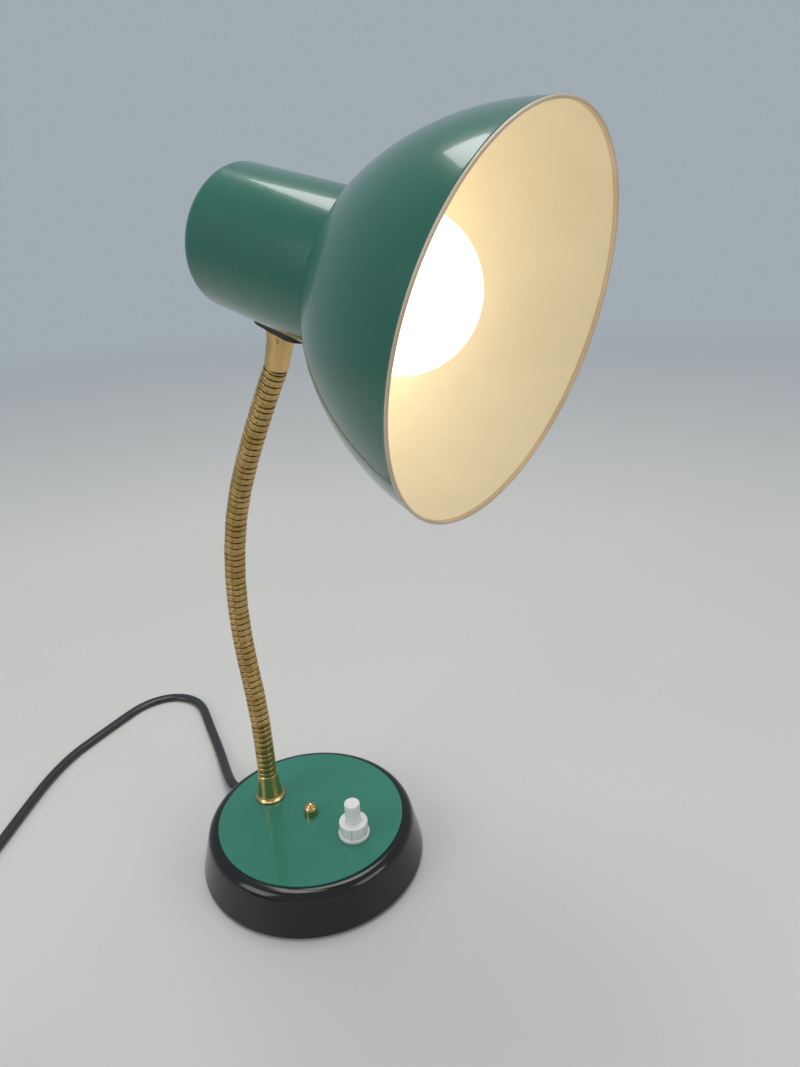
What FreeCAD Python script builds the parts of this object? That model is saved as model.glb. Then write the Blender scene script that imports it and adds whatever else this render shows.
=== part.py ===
"""Dome shade desk lamp: round moulded base, ribbed brass gooseneck, tapered lamp housing and spun dome shade.

Millimetres. The origin is the centre of the base's underside, +Z is up, and the shade looks towards -Y.
The base's fittings stand on one line through its centre, which is turned a little against the neck, as the
gooseneck has been twisted in its ferrule. The head is built along its own axis: s is the distance behind the
plane of the shade's rim.
"""
import FreeCAD
import Part
import math
import os

V = FreeCAD.Vector

# ---------------------------------------------------------------- base
base_foot_radius = 60.9        # outer radius of the moulded base where it meets the table
base_wall = 3.2                # wall of the moulding
base_foot_lift = 0.8           # the moulding's lower edge stands this far above the felt's underside
base_edge_round = 5.6          # round of the top outer edge, from the plate to the flared side
foot_thickening = 2.8          # the moulding's foot is this much thicker than its wall
plate_radius = 50.5            # green top plate
plate_thick = 1.0
plate_top = 25.2               # height of the plate's upper face
plate_play = 0.25              # gap round the plate's edge
plate_recess = 0.3             # depth of the recess that the plate lies in; the rest of its edge stands proud
rim_flat = 0.3                 # width of the moulding's level rim round the plate
ledge_width = 3.2              # ledge under the plate's edge
felt_thick = 1.6
felt_inset = 6.4               # the felt's edge stands this far inside the foot
felt_radius = base_foot_radius - felt_inset
cover_thick = 1.0
cover_inset = 3.9
cover_radius = base_foot_radius - cover_inset
cover_gap = 0.25               # radial gap between the bottom cover and the moulding
weight_inset = 8.9
weight_radius = base_foot_radius - weight_inset
weight_thick = 7.0
fit_gap = 0.05                 # gap of parts that are only clamped, radially
base_line_turn = 3.9           # degrees between the line of fittings and the neck's plane
fitting_reach = 29.4           # neck ferrule and switch from the centre

# ---------------------------------------------------------------- tie screw in the centre
tie_radius = 2.0
tie_head_radius = 4.0
tie_head_thick = 1.2
spacer_radius = 4.5
spacer_bore = 2.3
acorn_radius = 3.6
acorn_height = 7.2
acorn_skirt = 2.6              # straight lower part of the acorn nut
tie_in_acorn = 4.4             # thread that reaches into the acorn nut

# ---------------------------------------------------------------- threaded nipples and their nuts
nipple_radius = 4.95
nipple_bore = 3.4
nut_across = 14.0
nut_thick = 3.0
nipple_above_plate = 10.0
nipple_hole_depth = 14.0       # length of the tool that cuts the nipple's hole in the housing
nipple_below_nut = 2.0

# ---------------------------------------------------------------- lower ferrule
foot_flange_radius = 8.3
foot_flange_thick = 1.6
foot_cone_radius = 6.9
lower_ferrule_top_radius = 5.6
lower_ferrule_height = 16.5

# ---------------------------------------------------------------- gooseneck
segment_length = 17.33
rings_per_segment = 5
ring_radius = 5.2
groove_radius = 4.75
groove_width = 0.7
joint_gap = 1.4                # the groove at each joint is wider, which is the room in which it bends
ring_slope = 0.15
neck_bore = 3.0
ball_radius = 4.55
ball_clearance = 0.15
skirt_reach = 0.35             # the socket's skirt reaches this far below the ball's centre
ball_top = 2.6                 # the ball is cut flat this far above its centre
# lean of each segment from the vertical, in degrees, positive towards the shade, from the base up
segment_leans = (0.0, -1.0, -4.6, -7.2, -5.5, -0.9, 3.6, 8.6, 13.8, 19.4, 24.6, 27.6, 28.9, 30.7)
flex_radius = 1.9              # round two-core flex inside the neck

# ---------------------------------------------------------------- upper ferrule and saddle
upper_ferrule_lean = 19.5
upper_ferrule_length = 16.4
upper_ferrule_low_radius = 5.3
upper_ferrule_top_radius = 7.1
saddle_length = 27.0
saddle_width = 13.6
saddle_thick = 1.7             # at the ferrule's axis
saddle_gap = 0.05

# ---------------------------------------------------------------- head: housing and shade
head_lean = 13.36              # the head's axis points this far below the horizontal
neck_station = 103.5           # s where the ferrule's axis meets the housing's wall
housing_front = 67.8
housing_rear = 133.0
housing_front_radius = 30.1
housing_rear_radius = 28.3
housing_wall = 0.8
housing_rear_round = 4.6
nipple_hole_radius = 6.0
shade_rim_radius = 69.7
shade_wall = 0.8
shade_arc_radius = 104.0       # main arc of the dome
shade_arc_station = -13.5      # s of that arc's centre
shoulder_share = 0.451         # the shoulder begins at this share of the way from the neck out to the rim
shoulder_end_station = 65.7
shoulder_fillet = 1.6
rim_bead_radius = 0.6
shade_neck_gap = 0.28          # radial gap between the shade's neck and the housing
shade_flange_station = 91.3
shade_hole_radius = 20.3

# ---------------------------------------------------------------- lampholder
holder_front = 88.0
holder_thread_radius = 20.0
holder_shoulder_radius = 22.0
holder_shoulder_thick = 2.0
holder_body_radius = 17.8
holder_rear = 127.0
holder_floor = 3.0
holder_mouth_radius = 17.0
holder_mouth_depth = 6.5
shell_radius = 14.2
shell_wall = 0.5
shell_front = 95.5
shell_rear = 118.6
shade_ring_outer_radius = 25.0
shade_ring_thick = 2.4
bracket_thick = 1.5
bracket_width = 12.0
bracket_foot_thick = 2.4
bracket_foot_rear = 8.6         # the foot reaches this far to each side of the nipple before the housing ends it
bracket_foot_front = 30.0
bracket_leg_low = 9.0
bracket_foot_drop = 4.0
holder_screw_radius = 1.5
holder_screw_spread = 12.0

# ---------------------------------------------------------------- bulb
globe_radius = 30.0
globe_station = 48.5           # s of the globe's centre
glass_wall = 0.7
bulb_neck_radius = 12.4
bulb_cap_front = 94.0
bulb_cap_rear = 117.0
bulb_cap_radius = 13.1
bulb_tip = 121.0
thread_pitch = 3.6
thread_depth = 0.8

# ---------------------------------------------------------------- push switch
switch_body_length = 22.0
switch_body_width = 17.0
switch_body_depth = 12.0
switch_wall = 1.5
bush_radius = 6.0
bush_bore = 4.6
bush_height = 7.3
collar_flange_radius = 8.3
collar_flange_height = 1.9
collar_radius = 7.6
collar_height = 9.3
collar_edge_round = 1.0
collar_slots = 6               # slots in the collar's side, for a spanner
collar_slot_turn = 31.5        # degrees to the first slot
collar_slot_width = 0.5
collar_slot_depth = 0.45
button_radius = 4.15
button_stand = 11.5            # button above the collar
button_clearance = 0.08
button_flange_radius = 5.4
button_flange_thick = 1.2
button_travel = 3.0
contact_spread = 7.4           # contacts of the switch from its axis
peg_radius = 1.9
spring_radius = 2.9
spring_wire = 0.3
spring_turns = 5

# ---------------------------------------------------------------- cord, gland and plug
cord_width = 6.2
cord_length = 1800.0
gland_x = 4.3
gland_height = 7.3
gland_seat = 0.17              # the gland's station lies this far outside the moulding's side
gland_outside = 4.0
gland_inside = 16.0
gland_big_radius = 5.2
gland_tip_radius = 4.3
gland_hole_radius = 4.6
gland_flange_radius = 6.0
gland_flange_gap = 0.23        # between the inner flange and the wall in front of it
channel_lead = 18.0            # the channel starts this far before the sheath's end
cord_channel = 7.0             # width of the channel for the cord in the weight
gland_channel = 9.4
clamp_behind_gland = 4.4
sheath_past_clamp = 6.0
# corner points of the cord's route from the gland to its coil: the first two are measured from the gland's tip
lead_first = ((0.0, 3.8, 0.0), (2.1, 11.3, -0.3))
lead_points = (
    (12.1, 85.0, 6.0), (20.8, 98.9, 4.7), (30.6, 115.3, 3.6),
    (39.6, 131.6, 3.1), (47.6, 145.6, 3.1), (54.3, 157.6, 3.1), (56.9, 169.9, 3.1),
    (53.0, 183.1, 3.1), (43.0, 192.3, 3.1), (28.6, 196.6, 3.1), (9.9, 194.6, 3.1), (-10.1, 192.3, 3.1),
    (-31.0, 189.6, 3.1), (-54.2, 180.8, 3.1), (-79.8, 166.4, 3.1), (-105.8, 151.3, 3.1),
    (-134.0, 136.8, 3.1), (-164.0, 119.9, 3.3), (-194.0, 99.5, 3.6),
)
coil_centre = (-236.0, 18.0)
coil_start_angle = 128.0
coil_outer_radius = 36.9       # of the cord's middle, where the coil begins
coil_pitch = 7.0               # from turn to turn, across
coil_layer = 7.0               # from layer to layer, up
coil_lowest = 3.8
coil_layers = 4
turns_per_layer = 1.5
tail_turn = 0.375              # of a turn, on which the cord comes down beside the coil
tail_outset = 7.4
tail_drop_from = 0.2           # share of the tail after which it starts to come down
tail_run = 14.0
plug_height = 6.9
plug_length = 34.0
plug_width = 35.0
plug_thick = 13.6
pin_radius = 2.0
pin_length = 19.0
pin_spread = 18.6
tie_band_thick = 0.6
tie_band_width = 6.0
tie_angle = 52.0


# ================================================================ helpers
def revolve(points, place=None):
    """Solid of revolution about Z from (radius, height) corner points, closed."""
    wire = Part.makePolygon([V(r, 0, z) for r, z in points] + [V(points[0][0], 0, points[0][1])])
    solid = Part.Face(wire).revolve(V(0, 0, 0), V(0, 0, 1), 360)
    solid = Part.Solid(solid.Shells[0])
    if place is not None:
        solid.Placement = place
    return solid


def revolve_edges(edges, place=None):
    """Solid of revolution about Z from a closed loop of edges in the XZ plane."""
    wire = Part.Wire(edges)
    solid = Part.Face(wire).revolve(V(0, 0, 0), V(0, 0, 1), 360)
    solid = Part.Solid(solid.Shells[0])
    if place is not None:
        solid.Placement = place
    return solid


def line(a, b):
    """Straight edge between two (radius, height) points."""
    return Part.LineSegment(V(a[0], 0, a[1]), V(b[0], 0, b[1])).toShape()


def arc(a, m, b):
    """Arc through three (radius, height) points."""
    return Part.Arc(V(a[0], 0, a[1]), V(m[0], 0, m[1]), V(b[0], 0, b[1])).toShape()


def tube(radius, bore, low, high, place=None):
    """Round tube about Z between two heights."""
    return revolve([(bore, low), (radius, low), (radius, high), (bore, high)], place)


def rod(radius, low, high, place=None):
    """Round rod about Z between two heights."""
    return revolve([(0, low), (radius, low), (radius, high), (0, high)], place)


def hexagon(across, bore, low, high, place=None):
    """Hexagon nut blank about Z with a round bore."""
    corner = across / 2 / math.cos(math.radians(30))
    pts = [V(corner * math.cos(math.radians(60 * i)), corner * math.sin(math.radians(60 * i)), low)
           for i in range(7)]
    solid = Part.Face(Part.makePolygon(pts)).extrude(V(0, 0, high - low))
    solid = solid.cut(Part.makeCylinder(bore, high - low + 2, V(0, 0, low - 1)))
    if place is not None:
        solid.Placement = place
    return solid


def at(x, y, z=0.0):
    """Placement that only moves."""
    return FreeCAD.Placement(V(x, y, z), FreeCAD.Rotation())


def block(x0, x1, y0, y1, z0, z1):
    """Box between two corners."""
    return Part.makeBox(x1 - x0, y1 - y0, z1 - z0, V(x0, y0, z0))


def round_route(points, share=0.45, name="", end_share=None):
    """Wire of straight runs joined by tangent arcs; share is the part of a run that an arc may take."""
    pts = [V(*p) for p in points]
    edges = []
    start = pts[0]
    least = None
    for i in range(1, len(pts) - 1):
        a, b, c = pts[i - 1], pts[i], pts[i + 1]
        run_in = (b - a).Length
        run_out = (c - b).Length
        u = (a - b).normalize()
        w = (c - b).normalize()
        half_turn = (math.pi - u.getAngle(w)) / 2
        share_in = end_share if end_share and i == 1 else share
        share_out = end_share if end_share and i == len(pts) - 2 else share
        reach = min(share_in * run_in, share_out * run_out)
        radius = reach / math.tan(half_turn)
        least = radius if least is None else min(least, radius)
        p = b + u * reach
        q = b + w * reach
        bisector = (u + w).normalize()
        middle = b + bisector * (radius / math.cos(half_turn) - radius)
        if (p - start).Length > 1e-4:
            edges.append(Part.LineSegment(start, p).toShape())
        edges.append(Part.Arc(p, middle, q).toShape())
        start = q
    edges.append(Part.LineSegment(start, pts[-1]).toShape())
    print("route", name, "length %.1f least radius %.1f" % (sum(e.Length for e in edges), least or 0))
    return Part.Wire(edges)


def pipe(wire, radius, name=""):
    """Round tube along a wire of straight runs and tangent arcs, volume checked against its length."""
    first = wire.OrderedEdges[0]
    start = first.valueAt(first.FirstParameter)
    tangent = first.tangentAt(first.FirstParameter)
    circle = Part.Wire([Part.Circle(start, tangent, radius).toShape()])
    solid = wire.makePipeShell([circle], True, False)
    if solid.ShapeType != "Solid":
        solid = Part.Solid(solid.Shells[0])
    share = solid.Volume / (math.pi * radius * radius * wire.Length)
    print("pipe", name, "volume share %.4f valid %s" % (share, solid.isValid()))
    return solid


def biarc(p0, t0, p1, t1):
    """Two tangent arcs from p0 along t0 to p1 along t1."""
    t0 = V(t0).normalize()
    t1 = V(t1).normalize()
    v = p1 - p0
    t = t0 + t1
    k = 2 * (1 - t0.dot(t1))
    b = v.dot(t)
    if k > 1e-9:
        d = (-b + math.sqrt(b * b + k * v.dot(v))) / k
    else:
        d = v.dot(v) / (4 * v.dot(t1))
    q0 = p0 + t0 * d
    q1 = p1 - t1 * d
    joint = (q0 + q1) * 0.5
    return [tangent_arc(p0, t0, joint), tangent_arc(p1, t1 * -1.0, joint, True)]


def tangent_arc(a, t, b, backwards=False):
    """Arc from a, leaving along t, to b; backwards returns it from b to a."""
    chord = b - a
    half = V(t).normalize().getAngle(chord)
    if half < 1e-6:
        return Part.LineSegment(b, a).toShape() if backwards else Part.LineSegment(a, b).toShape()
    normal = t.cross(chord).cross(chord).normalize()
    sagitta = chord.Length / 2 * math.tan(half / 2)
    middle = (a + b) * 0.5 + normal * sagitta
    if (middle - a).dot(t) < 0 or (middle - a).getAngle(t) > half:
        middle = (a + b) * 0.5 - normal * sagitta
    return Part.Arc(b, middle, a).toShape() if backwards else Part.Arc(a, middle, b).toShape()


nodes = {}


def keep(name, *solids):
    """Register one named piece, or a group of separate solids under one name."""
    shape = solids[0] if len(solids) == 1 else Part.makeCompound(list(solids))
    nodes[name] = shape
    return shape


# ================================================================ base
plate_under = plate_top - plate_thick
cover_low = felt_thick
cover_high = felt_thick + cover_thick
weight_high = cover_high + weight_thick
turn = math.radians(base_line_turn)
neck_x = -fitting_reach * math.sin(turn)
neck_y = fitting_reach * math.cos(turn)
switch_x = -neck_x
switch_y = -neck_y
ferrule_place = at(neck_x, neck_y)
switch_place = at(switch_x, switch_y)

rim_top = plate_under + plate_recess
rim_inner_radius = plate_radius + plate_play
edge_centre = (rim_inner_radius + rim_flat, rim_top - base_edge_round)
base_top_radius = edge_centre[0] + base_edge_round
side_foot = (base_foot_radius, base_foot_lift + 1.2)
foot_reach = math.hypot(side_foot[0] - edge_centre[0], side_foot[1] - edge_centre[1])
side_normal = (math.atan2(side_foot[1] - edge_centre[1], side_foot[0] - edge_centre[0])
               + math.acos(base_edge_round / foot_reach))
edge_middle = (side_normal + math.pi / 2) / 2


def edge_point(angle):
    """Point of the base's rounded top edge whose surface faces that way."""
    return (edge_centre[0] + base_edge_round * math.cos(angle), edge_centre[1] + base_edge_round * math.sin(angle))


side_head = edge_point(side_normal)
shell_inner_low = base_foot_radius - base_wall - foot_thickening
shell_profile = [
    line((cover_radius + cover_gap, base_foot_lift), (base_foot_radius - 1.2, base_foot_lift)),
    arc((base_foot_radius - 1.2, base_foot_lift),
        (base_foot_radius - 0.35, base_foot_lift + 0.35),
        (base_foot_radius, base_foot_lift + 1.2)),
    line(side_foot, side_head),
    arc(side_head, edge_point(edge_middle), (edge_centre[0], rim_top)),
    line((edge_centre[0], rim_top), (rim_inner_radius, rim_top)),
    line((rim_inner_radius, rim_top), (rim_inner_radius, plate_under)),
    line((rim_inner_radius, plate_under), (rim_inner_radius - ledge_width, plate_under)),
    line((rim_inner_radius - ledge_width, plate_under), (rim_inner_radius - ledge_width, plate_under - 2.0)),
    line((rim_inner_radius - ledge_width, plate_under - 2.0), (base_top_radius - base_wall, plate_under - 4.5)),
    line((base_top_radius - base_wall, plate_under - 4.5), (shell_inner_low, weight_high)),
    line((shell_inner_low, weight_high), (shell_inner_low, cover_high)),
    line((shell_inner_low, cover_high), (cover_radius + cover_gap, cover_high)),
    line((cover_radius + cover_gap, cover_high), (cover_radius + cover_gap, base_foot_lift)),
]
base_shell = revolve_edges(shell_profile)


def side_radius(z):
    """Outer radius of the moulding's flared side at height z."""
    return side_foot[0] + (side_head[0] - side_foot[0]) * (z - side_foot[1]) / (side_head[1] - side_foot[1])


gland_station = math.sqrt(side_radius(gland_height) ** 2 - gland_x ** 2) + gland_seat
gland_flange_reach = (gland_station + gland_flange_gap
                      - math.sqrt(shell_inner_low ** 2 - (gland_x + gland_flange_radius) ** 2))
clamp_y = gland_station - gland_inside - clamp_behind_gland
inner_cord_end = clamp_y - sheath_past_clamp
gland_hole = Part.makeCylinder(gland_hole_radius, gland_inside + gland_outside)
gland_hole.Placement = FreeCAD.Placement(V(gland_x, gland_station - gland_inside, gland_height),
                                         FreeCAD.Rotation(V(1, 0, 0), -90))
spot_face = Part.makeCylinder(gland_big_radius + 0.3, 2 * base_wall)
spot_face.Placement = FreeCAD.Placement(V(gland_x, gland_station + 0.35, gland_height),
                                        FreeCAD.Rotation(V(1, 0, 0), -90))
base_shell = base_shell.cut(gland_hole).cut(spot_face)
keep("base_shell", base_shell)

top_plate = tube(plate_radius, tie_radius + 0.2, plate_under, plate_top)
top_plate = top_plate.cut(Part.makeCylinder(nipple_radius + fit_gap, 6, V(neck_x, neck_y, plate_under - 2)))
top_plate = top_plate.cut(Part.makeCylinder(bush_radius + fit_gap, 6, V(switch_x, switch_y, plate_under - 2)))
keep("top_plate", top_plate)

weight = tube(weight_radius, spacer_bore, cover_high, weight_high)
channel_floor = gland_height - cord_width / 2
weight = weight.cut(block(gland_x - cord_channel / 2, gland_x + cord_channel / 2, inner_cord_end - channel_lead,
                          weight_radius + 2, channel_floor, weight_high + 1))
weight = weight.cut(block(gland_x - gland_channel / 2, gland_x + gland_channel / 2,
                          gland_station - gland_inside - 0.5, weight_radius + 2, 0, weight_high + 1))
for x in (-1, 1):
    weight = weight.cut(Part.makeCylinder(1.55, 5, V(gland_x + x * 6.6, clamp_y, weight_high - 4.0)))
keep("base_weight", weight)
keep("bottom_cover", tube(cover_radius, tie_radius + 0.2, cover_low, cover_high))
felt_recess = felt_thick - tie_head_thick
keep("felt_pad", revolve([
    (0, 0), (felt_radius, 0), (felt_radius, felt_thick), (tie_head_radius + 1.0, felt_thick),
    (tie_head_radius + 1.0, felt_recess), (0, felt_recess)]))

tie_top = plate_top + tie_in_acorn
keep("tie_screw", revolve([
    (0, cover_low - tie_head_thick), (tie_head_radius, cover_low - tie_head_thick),
    (tie_head_radius, cover_low), (tie_radius, cover_low), (tie_radius, tie_top), (0, tie_top)]))
keep("spacer_tube", tube(spacer_radius, spacer_bore, weight_high, plate_under))
acorn_top = plate_top + acorn_height
acorn_shoulder = 2.2           # radius where the nut's rounded top begins
acorn_cap = 1.3                # height of that top
acorn_ball = (acorn_shoulder ** 2 + acorn_cap ** 2) / (2 * acorn_cap)
acorn_half = math.asin(acorn_shoulder / acorn_ball) / 2
acorn_profile = [
    line((tie_radius + 0.03, plate_top), (acorn_radius, plate_top)),
    line((acorn_radius, plate_top), (acorn_radius, plate_top + acorn_skirt)),
    arc((acorn_radius, plate_top + acorn_skirt), (acorn_radius - 0.3, plate_top + acorn_skirt + 2.3),
        (acorn_shoulder, acorn_top - acorn_cap)),
    arc((acorn_shoulder, acorn_top - acorn_cap),
        (acorn_ball * math.sin(acorn_half), acorn_top - acorn_ball * (1 - math.cos(acorn_half))), (0, acorn_top)),
    line((0, acorn_top), (0, tie_top + 0.4)),
    line((0, tie_top + 0.4), (tie_radius + 0.03, tie_top + 0.4)),
    line((tie_radius + 0.03, tie_top + 0.4), (tie_radius + 0.03, plate_top)),
]
keep("acorn_nut", revolve_edges(acorn_profile))

# ================================================================ neck: lower end
nipple_low = plate_under - nut_thick - nipple_below_nut
nipple_high = plate_top + nipple_above_plate
keep("lower_nipple", tube(nipple_radius, nipple_bore, nipple_low, nipple_high, ferrule_place))
keep("lower_nipple_nut", hexagon(nut_across, nipple_radius + 0.03, plate_under - nut_thick, plate_under,
                                 ferrule_place))

ferrule_top = plate_top + lower_ferrule_height
ferrule_profile = [
    line((nipple_radius + 0.03, plate_top), (foot_flange_radius - 0.5, plate_top)),
    arc((foot_flange_radius - 0.5, plate_top), (foot_flange_radius, plate_top + foot_flange_thick * 0.45),
        (foot_flange_radius - 0.7, plate_top + foot_flange_thick)),
    arc((foot_flange_radius - 0.7, plate_top + foot_flange_thick),
        (foot_cone_radius + 0.1, plate_top + foot_flange_thick + 0.9),
        (foot_cone_radius - 0.25, plate_top + foot_flange_thick + 2.6)),
    line((foot_cone_radius - 0.25, plate_top + foot_flange_thick + 2.6),
         (lower_ferrule_top_radius, ferrule_top - 0.3)),
    line((lower_ferrule_top_radius, ferrule_top - 0.3), (lower_ferrule_top_radius - 0.3, ferrule_top)),
    line((lower_ferrule_top_radius - 0.3, ferrule_top), (neck_bore + 0.1, ferrule_top)),
    line((neck_bore + 0.1, ferrule_top), (neck_bore + 0.1, nipple_high)),
    line((neck_bore + 0.1, nipple_high), (nipple_radius + 0.03, nipple_high)),
    line((nipple_radius + 0.03, nipple_high), (nipple_radius + 0.03, plate_top)),
]
keep("lower_ferrule", revolve_edges(ferrule_profile, ferrule_place))

# ================================================================ gooseneck chain
shoulder = joint_gap + skirt_reach
pitch = segment_length / rings_per_segment
ball_shoulder_radius = math.sqrt(ball_radius ** 2 - (shoulder - 0.05) ** 2)
socket_radius = ball_radius + ball_clearance


def neck_segment(place, socket, ball):
    """One ribbed segment from the joint at its foot to the joint at its top."""
    outer = []
    for k in range(rings_per_segment):
        low = k * pitch - skirt_reach
        if k == 0 and not socket:
            low = 0.0
        high = (k + 1) * pitch - skirt_reach - groove_width
        if k == rings_per_segment - 1:
            high = segment_length - shoulder
        outer += [(groove_radius, low), (ring_radius, low + ring_slope), (ring_radius, high - ring_slope),
                  (groove_radius, high)]
    if not socket:
        outer[0] = (ring_radius, 0.0)
    else:
        outer[0] = (ring_radius - ring_slope, -skirt_reach)
    profile = [line(a, b) for a, b in zip(outer[:-1], outer[1:])]
    last = outer[-1]
    joint_low = segment_length - shoulder + 0.05
    profile.append(line(last, (ball_shoulder_radius, joint_low)))
    a = (ball_shoulder_radius, joint_low)
    b = (math.sqrt(ball_radius ** 2 - ball_top ** 2), segment_length + ball_top)
    m = (ball_radius, segment_length)
    profile.append(arc(a, m, b))
    profile.append(line(b, (neck_bore, segment_length + ball_top)))
    if socket:
        roof = math.sqrt(socket_radius ** 2 - neck_bore ** 2)
        mouth = math.sqrt(socket_radius ** 2 - skirt_reach ** 2)
        profile.append(line((neck_bore, segment_length + ball_top), (neck_bore, roof)))
        profile.append(arc((neck_bore, roof), (socket_radius * math.cos(0.4), socket_radius * math.sin(0.4)),
                           (mouth, -skirt_reach)))
        profile.append(line((mouth, -skirt_reach), outer[0]))
    else:
        profile.append(line((neck_bore, segment_length + ball_top), (neck_bore, 0.0)))
        profile.append(line((neck_bore, 0.0), outer[0]))
    return revolve_edges(profile, place)


neck_points = [V(neck_x, neck_y, ferrule_top)]
for lean in segment_leans:
    a = math.radians(lean)
    neck_points.append(neck_points[-1] + V(0, -math.sin(a), math.cos(a)) * segment_length)
for i, lean in enumerate(segment_leans):
    place = FreeCAD.Placement(neck_points[i], FreeCAD.Rotation(V(1, 0, 0), lean))
    keep("neck_segment_%02d" % (i + 1), neck_segment(place, i > 0, True))
neck_end = neck_points[-1]
print("neck end", [round(c, 2) for c in neck_end])

# ================================================================ neck: upper end, in the ferrule's own frame
upper_place = FreeCAD.Placement(neck_end, FreeCAD.Rotation(V(1, 0, 0), upper_ferrule_lean))
roof = math.sqrt(socket_radius ** 2 - neck_bore ** 2)
mouth = math.sqrt(socket_radius ** 2 - skirt_reach ** 2)
nipple_seat = upper_ferrule_length - nipple_above_plate + 1.0
upper_profile = [
    line((mouth, -skirt_reach), (upper_ferrule_low_radius - 0.2, -skirt_reach)),
    line((upper_ferrule_low_radius - 0.2, -skirt_reach), (upper_ferrule_low_radius, 0.0)),
    line((upper_ferrule_low_radius, 0.0), (upper_ferrule_low_radius + 0.35, upper_ferrule_length * 0.55)),
    arc((upper_ferrule_low_radius + 0.35, upper_ferrule_length * 0.55),
        (upper_ferrule_low_radius + 0.75, upper_ferrule_length * 0.8),
        (upper_ferrule_top_radius, upper_ferrule_length)),
    line((upper_ferrule_top_radius, upper_ferrule_length), (nipple_radius + 0.03, upper_ferrule_length)),
    line((nipple_radius + 0.03, upper_ferrule_length), (nipple_radius + 0.03, nipple_seat)),
    line((nipple_radius + 0.03, nipple_seat), (neck_bore, nipple_seat)),
    line((neck_bore, nipple_seat), (neck_bore, roof)),
    arc((neck_bore, roof), (socket_radius * math.cos(0.4), socket_radius * math.sin(0.4)), (mouth, -skirt_reach)),
]
keep("upper_ferrule", revolve_edges(upper_profile, upper_place))

# ================================================================ head frame
# The ferrule's axis meets the housing's outer wall at neck_station; the rim's centre follows from that point.
housing_slope = (housing_front_radius - housing_rear_radius) / (housing_rear - housing_front)


def housing_radius(s):
    """Outer radius of the housing at station s."""
    return housing_front_radius - housing_slope * (s - housing_front)


lean = math.radians(head_lean)
back = V(0, math.cos(lean), math.sin(lean))
up = V(0, -math.sin(lean), math.cos(lean))
ferrule_axis = V(0, -math.sin(math.radians(upper_ferrule_lean)), math.cos(math.radians(upper_ferrule_lean)))
wall_point = neck_end + ferrule_axis * (upper_ferrule_length + saddle_thick)
rim_centre = wall_point - back * neck_station + up * housing_radius(neck_station)
head_place = FreeCAD.Placement(rim_centre, FreeCAD.Rotation(V(1, 0, 0), -(90 - head_lean)))
print("rim centre", [round(c, 2) for c in rim_centre])

# ---------------------------------------------------------------- rear housing
rear_inner = housing_rear - housing_wall
front_point = (housing_front_radius, housing_front)
shoulder_s = housing_rear - housing_rear_round
k = housing_rear_round
out_a = (housing_radius(shoulder_s), shoulder_s)
out_m = (housing_radius(shoulder_s) - k * (1 - math.cos(math.radians(45))), shoulder_s + k * math.sin(math.radians(45)))
out_b = (housing_radius(shoulder_s) - k, housing_rear)
kin = housing_rear_round - housing_wall
in_a = (housing_radius(shoulder_s) - housing_wall, shoulder_s)
in_m = (in_a[0] - kin * (1 - math.cos(math.radians(45))), shoulder_s + kin * math.sin(math.radians(45)))
in_b = (in_a[0] - kin, rear_inner)
housing_outer = revolve_edges([
    line((0, housing_front), front_point), line(front_point, out_a), arc(out_a, out_m, out_b),
    line(out_b, (0, housing_rear)), line((0, housing_rear), (0, housing_front))], head_place)
front_inner = (housing_front_radius - housing_wall, housing_front)
housing_inner = revolve_edges([
    line((0, housing_front - 5), (front_inner[0] + 5 * housing_slope, housing_front - 5)),
    line((front_inner[0] + 5 * housing_slope, housing_front - 5), in_a), arc(in_a, in_m, in_b),
    line(in_b, (0, rear_inner)), line((0, rear_inner), (0, housing_front - 5))], head_place)
housing = housing_outer.cut(housing_inner)
nipple_hole = Part.makeCylinder(nipple_hole_radius, nipple_hole_depth,
                                V(0, 0, upper_ferrule_length + saddle_thick - nipple_hole_depth / 2))
nipple_hole.Placement = upper_place
housing = housing.cut(nipple_hole)
keep("rear_housing", housing)

# ---------------------------------------------------------------- saddle gasket between ferrule and housing
half = saddle_length / 2 - saddle_width / 2
saddle_blank = saddle_width / 2 + saddle_thick
saddle = block(-saddle_width / 2, saddle_width / 2, -half, half, upper_ferrule_length,
               upper_ferrule_length + saddle_blank)
for y in (-half, half):
    saddle = saddle.fuse(Part.makeCylinder(saddle_width / 2, saddle_blank, V(0, y, upper_ferrule_length)))
saddle = saddle.removeSplitter()
saddle = saddle.cut(Part.makeCylinder(nipple_radius + fit_gap, 2 * saddle_blank,
                                      V(0, 0, upper_ferrule_length - saddle_blank / 2)))
saddle.Placement = upper_place
saddle_cut = revolve([
    (0, housing_front - saddle_length), (housing_radius(housing_front - saddle_length) + saddle_gap,
                                         housing_front - saddle_length),
    (housing_radius(housing_rear + saddle_length) + saddle_gap, housing_rear + saddle_length),
    (0, housing_rear + saddle_length)], head_place)
saddle = saddle.cut(saddle_cut)
keep("saddle_gasket", saddle.Solids[0])

# ---------------------------------------------------------------- lampholder bracket, upper nipple and nut
foot_low = upper_ferrule_length + saddle_thick
bracket_foot_top = foot_low + housing_wall + bracket_foot_thick
foot = block(-bracket_width / 2, bracket_width / 2, -bracket_foot_rear, bracket_foot_front,
             foot_low - bracket_foot_drop, bracket_foot_top)
foot.Placement = upper_place
foot_limit = revolve([
    (0, housing_front), (housing_radius(housing_front) - housing_wall - 0.05, housing_front),
    (housing_radius(shoulder_s) - housing_wall - 0.05, shoulder_s),
    (in_m[0] - 0.05, in_m[1] - 0.05), (in_b[0] - 0.1, rear_inner - 0.3), (0, rear_inner - 0.3)], head_place)
foot = foot.common(foot_limit)
leg_front = holder_rear
leg_rear = holder_rear + bracket_thick
leg = block(-bracket_width / 2, bracket_width / 2, -bracket_leg_low, 2 * housing_front_radius,
            leg_front, leg_rear)
leg.Placement = head_place
leg = leg.common(foot_limit)
wide = 2 * housing_front_radius
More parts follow.
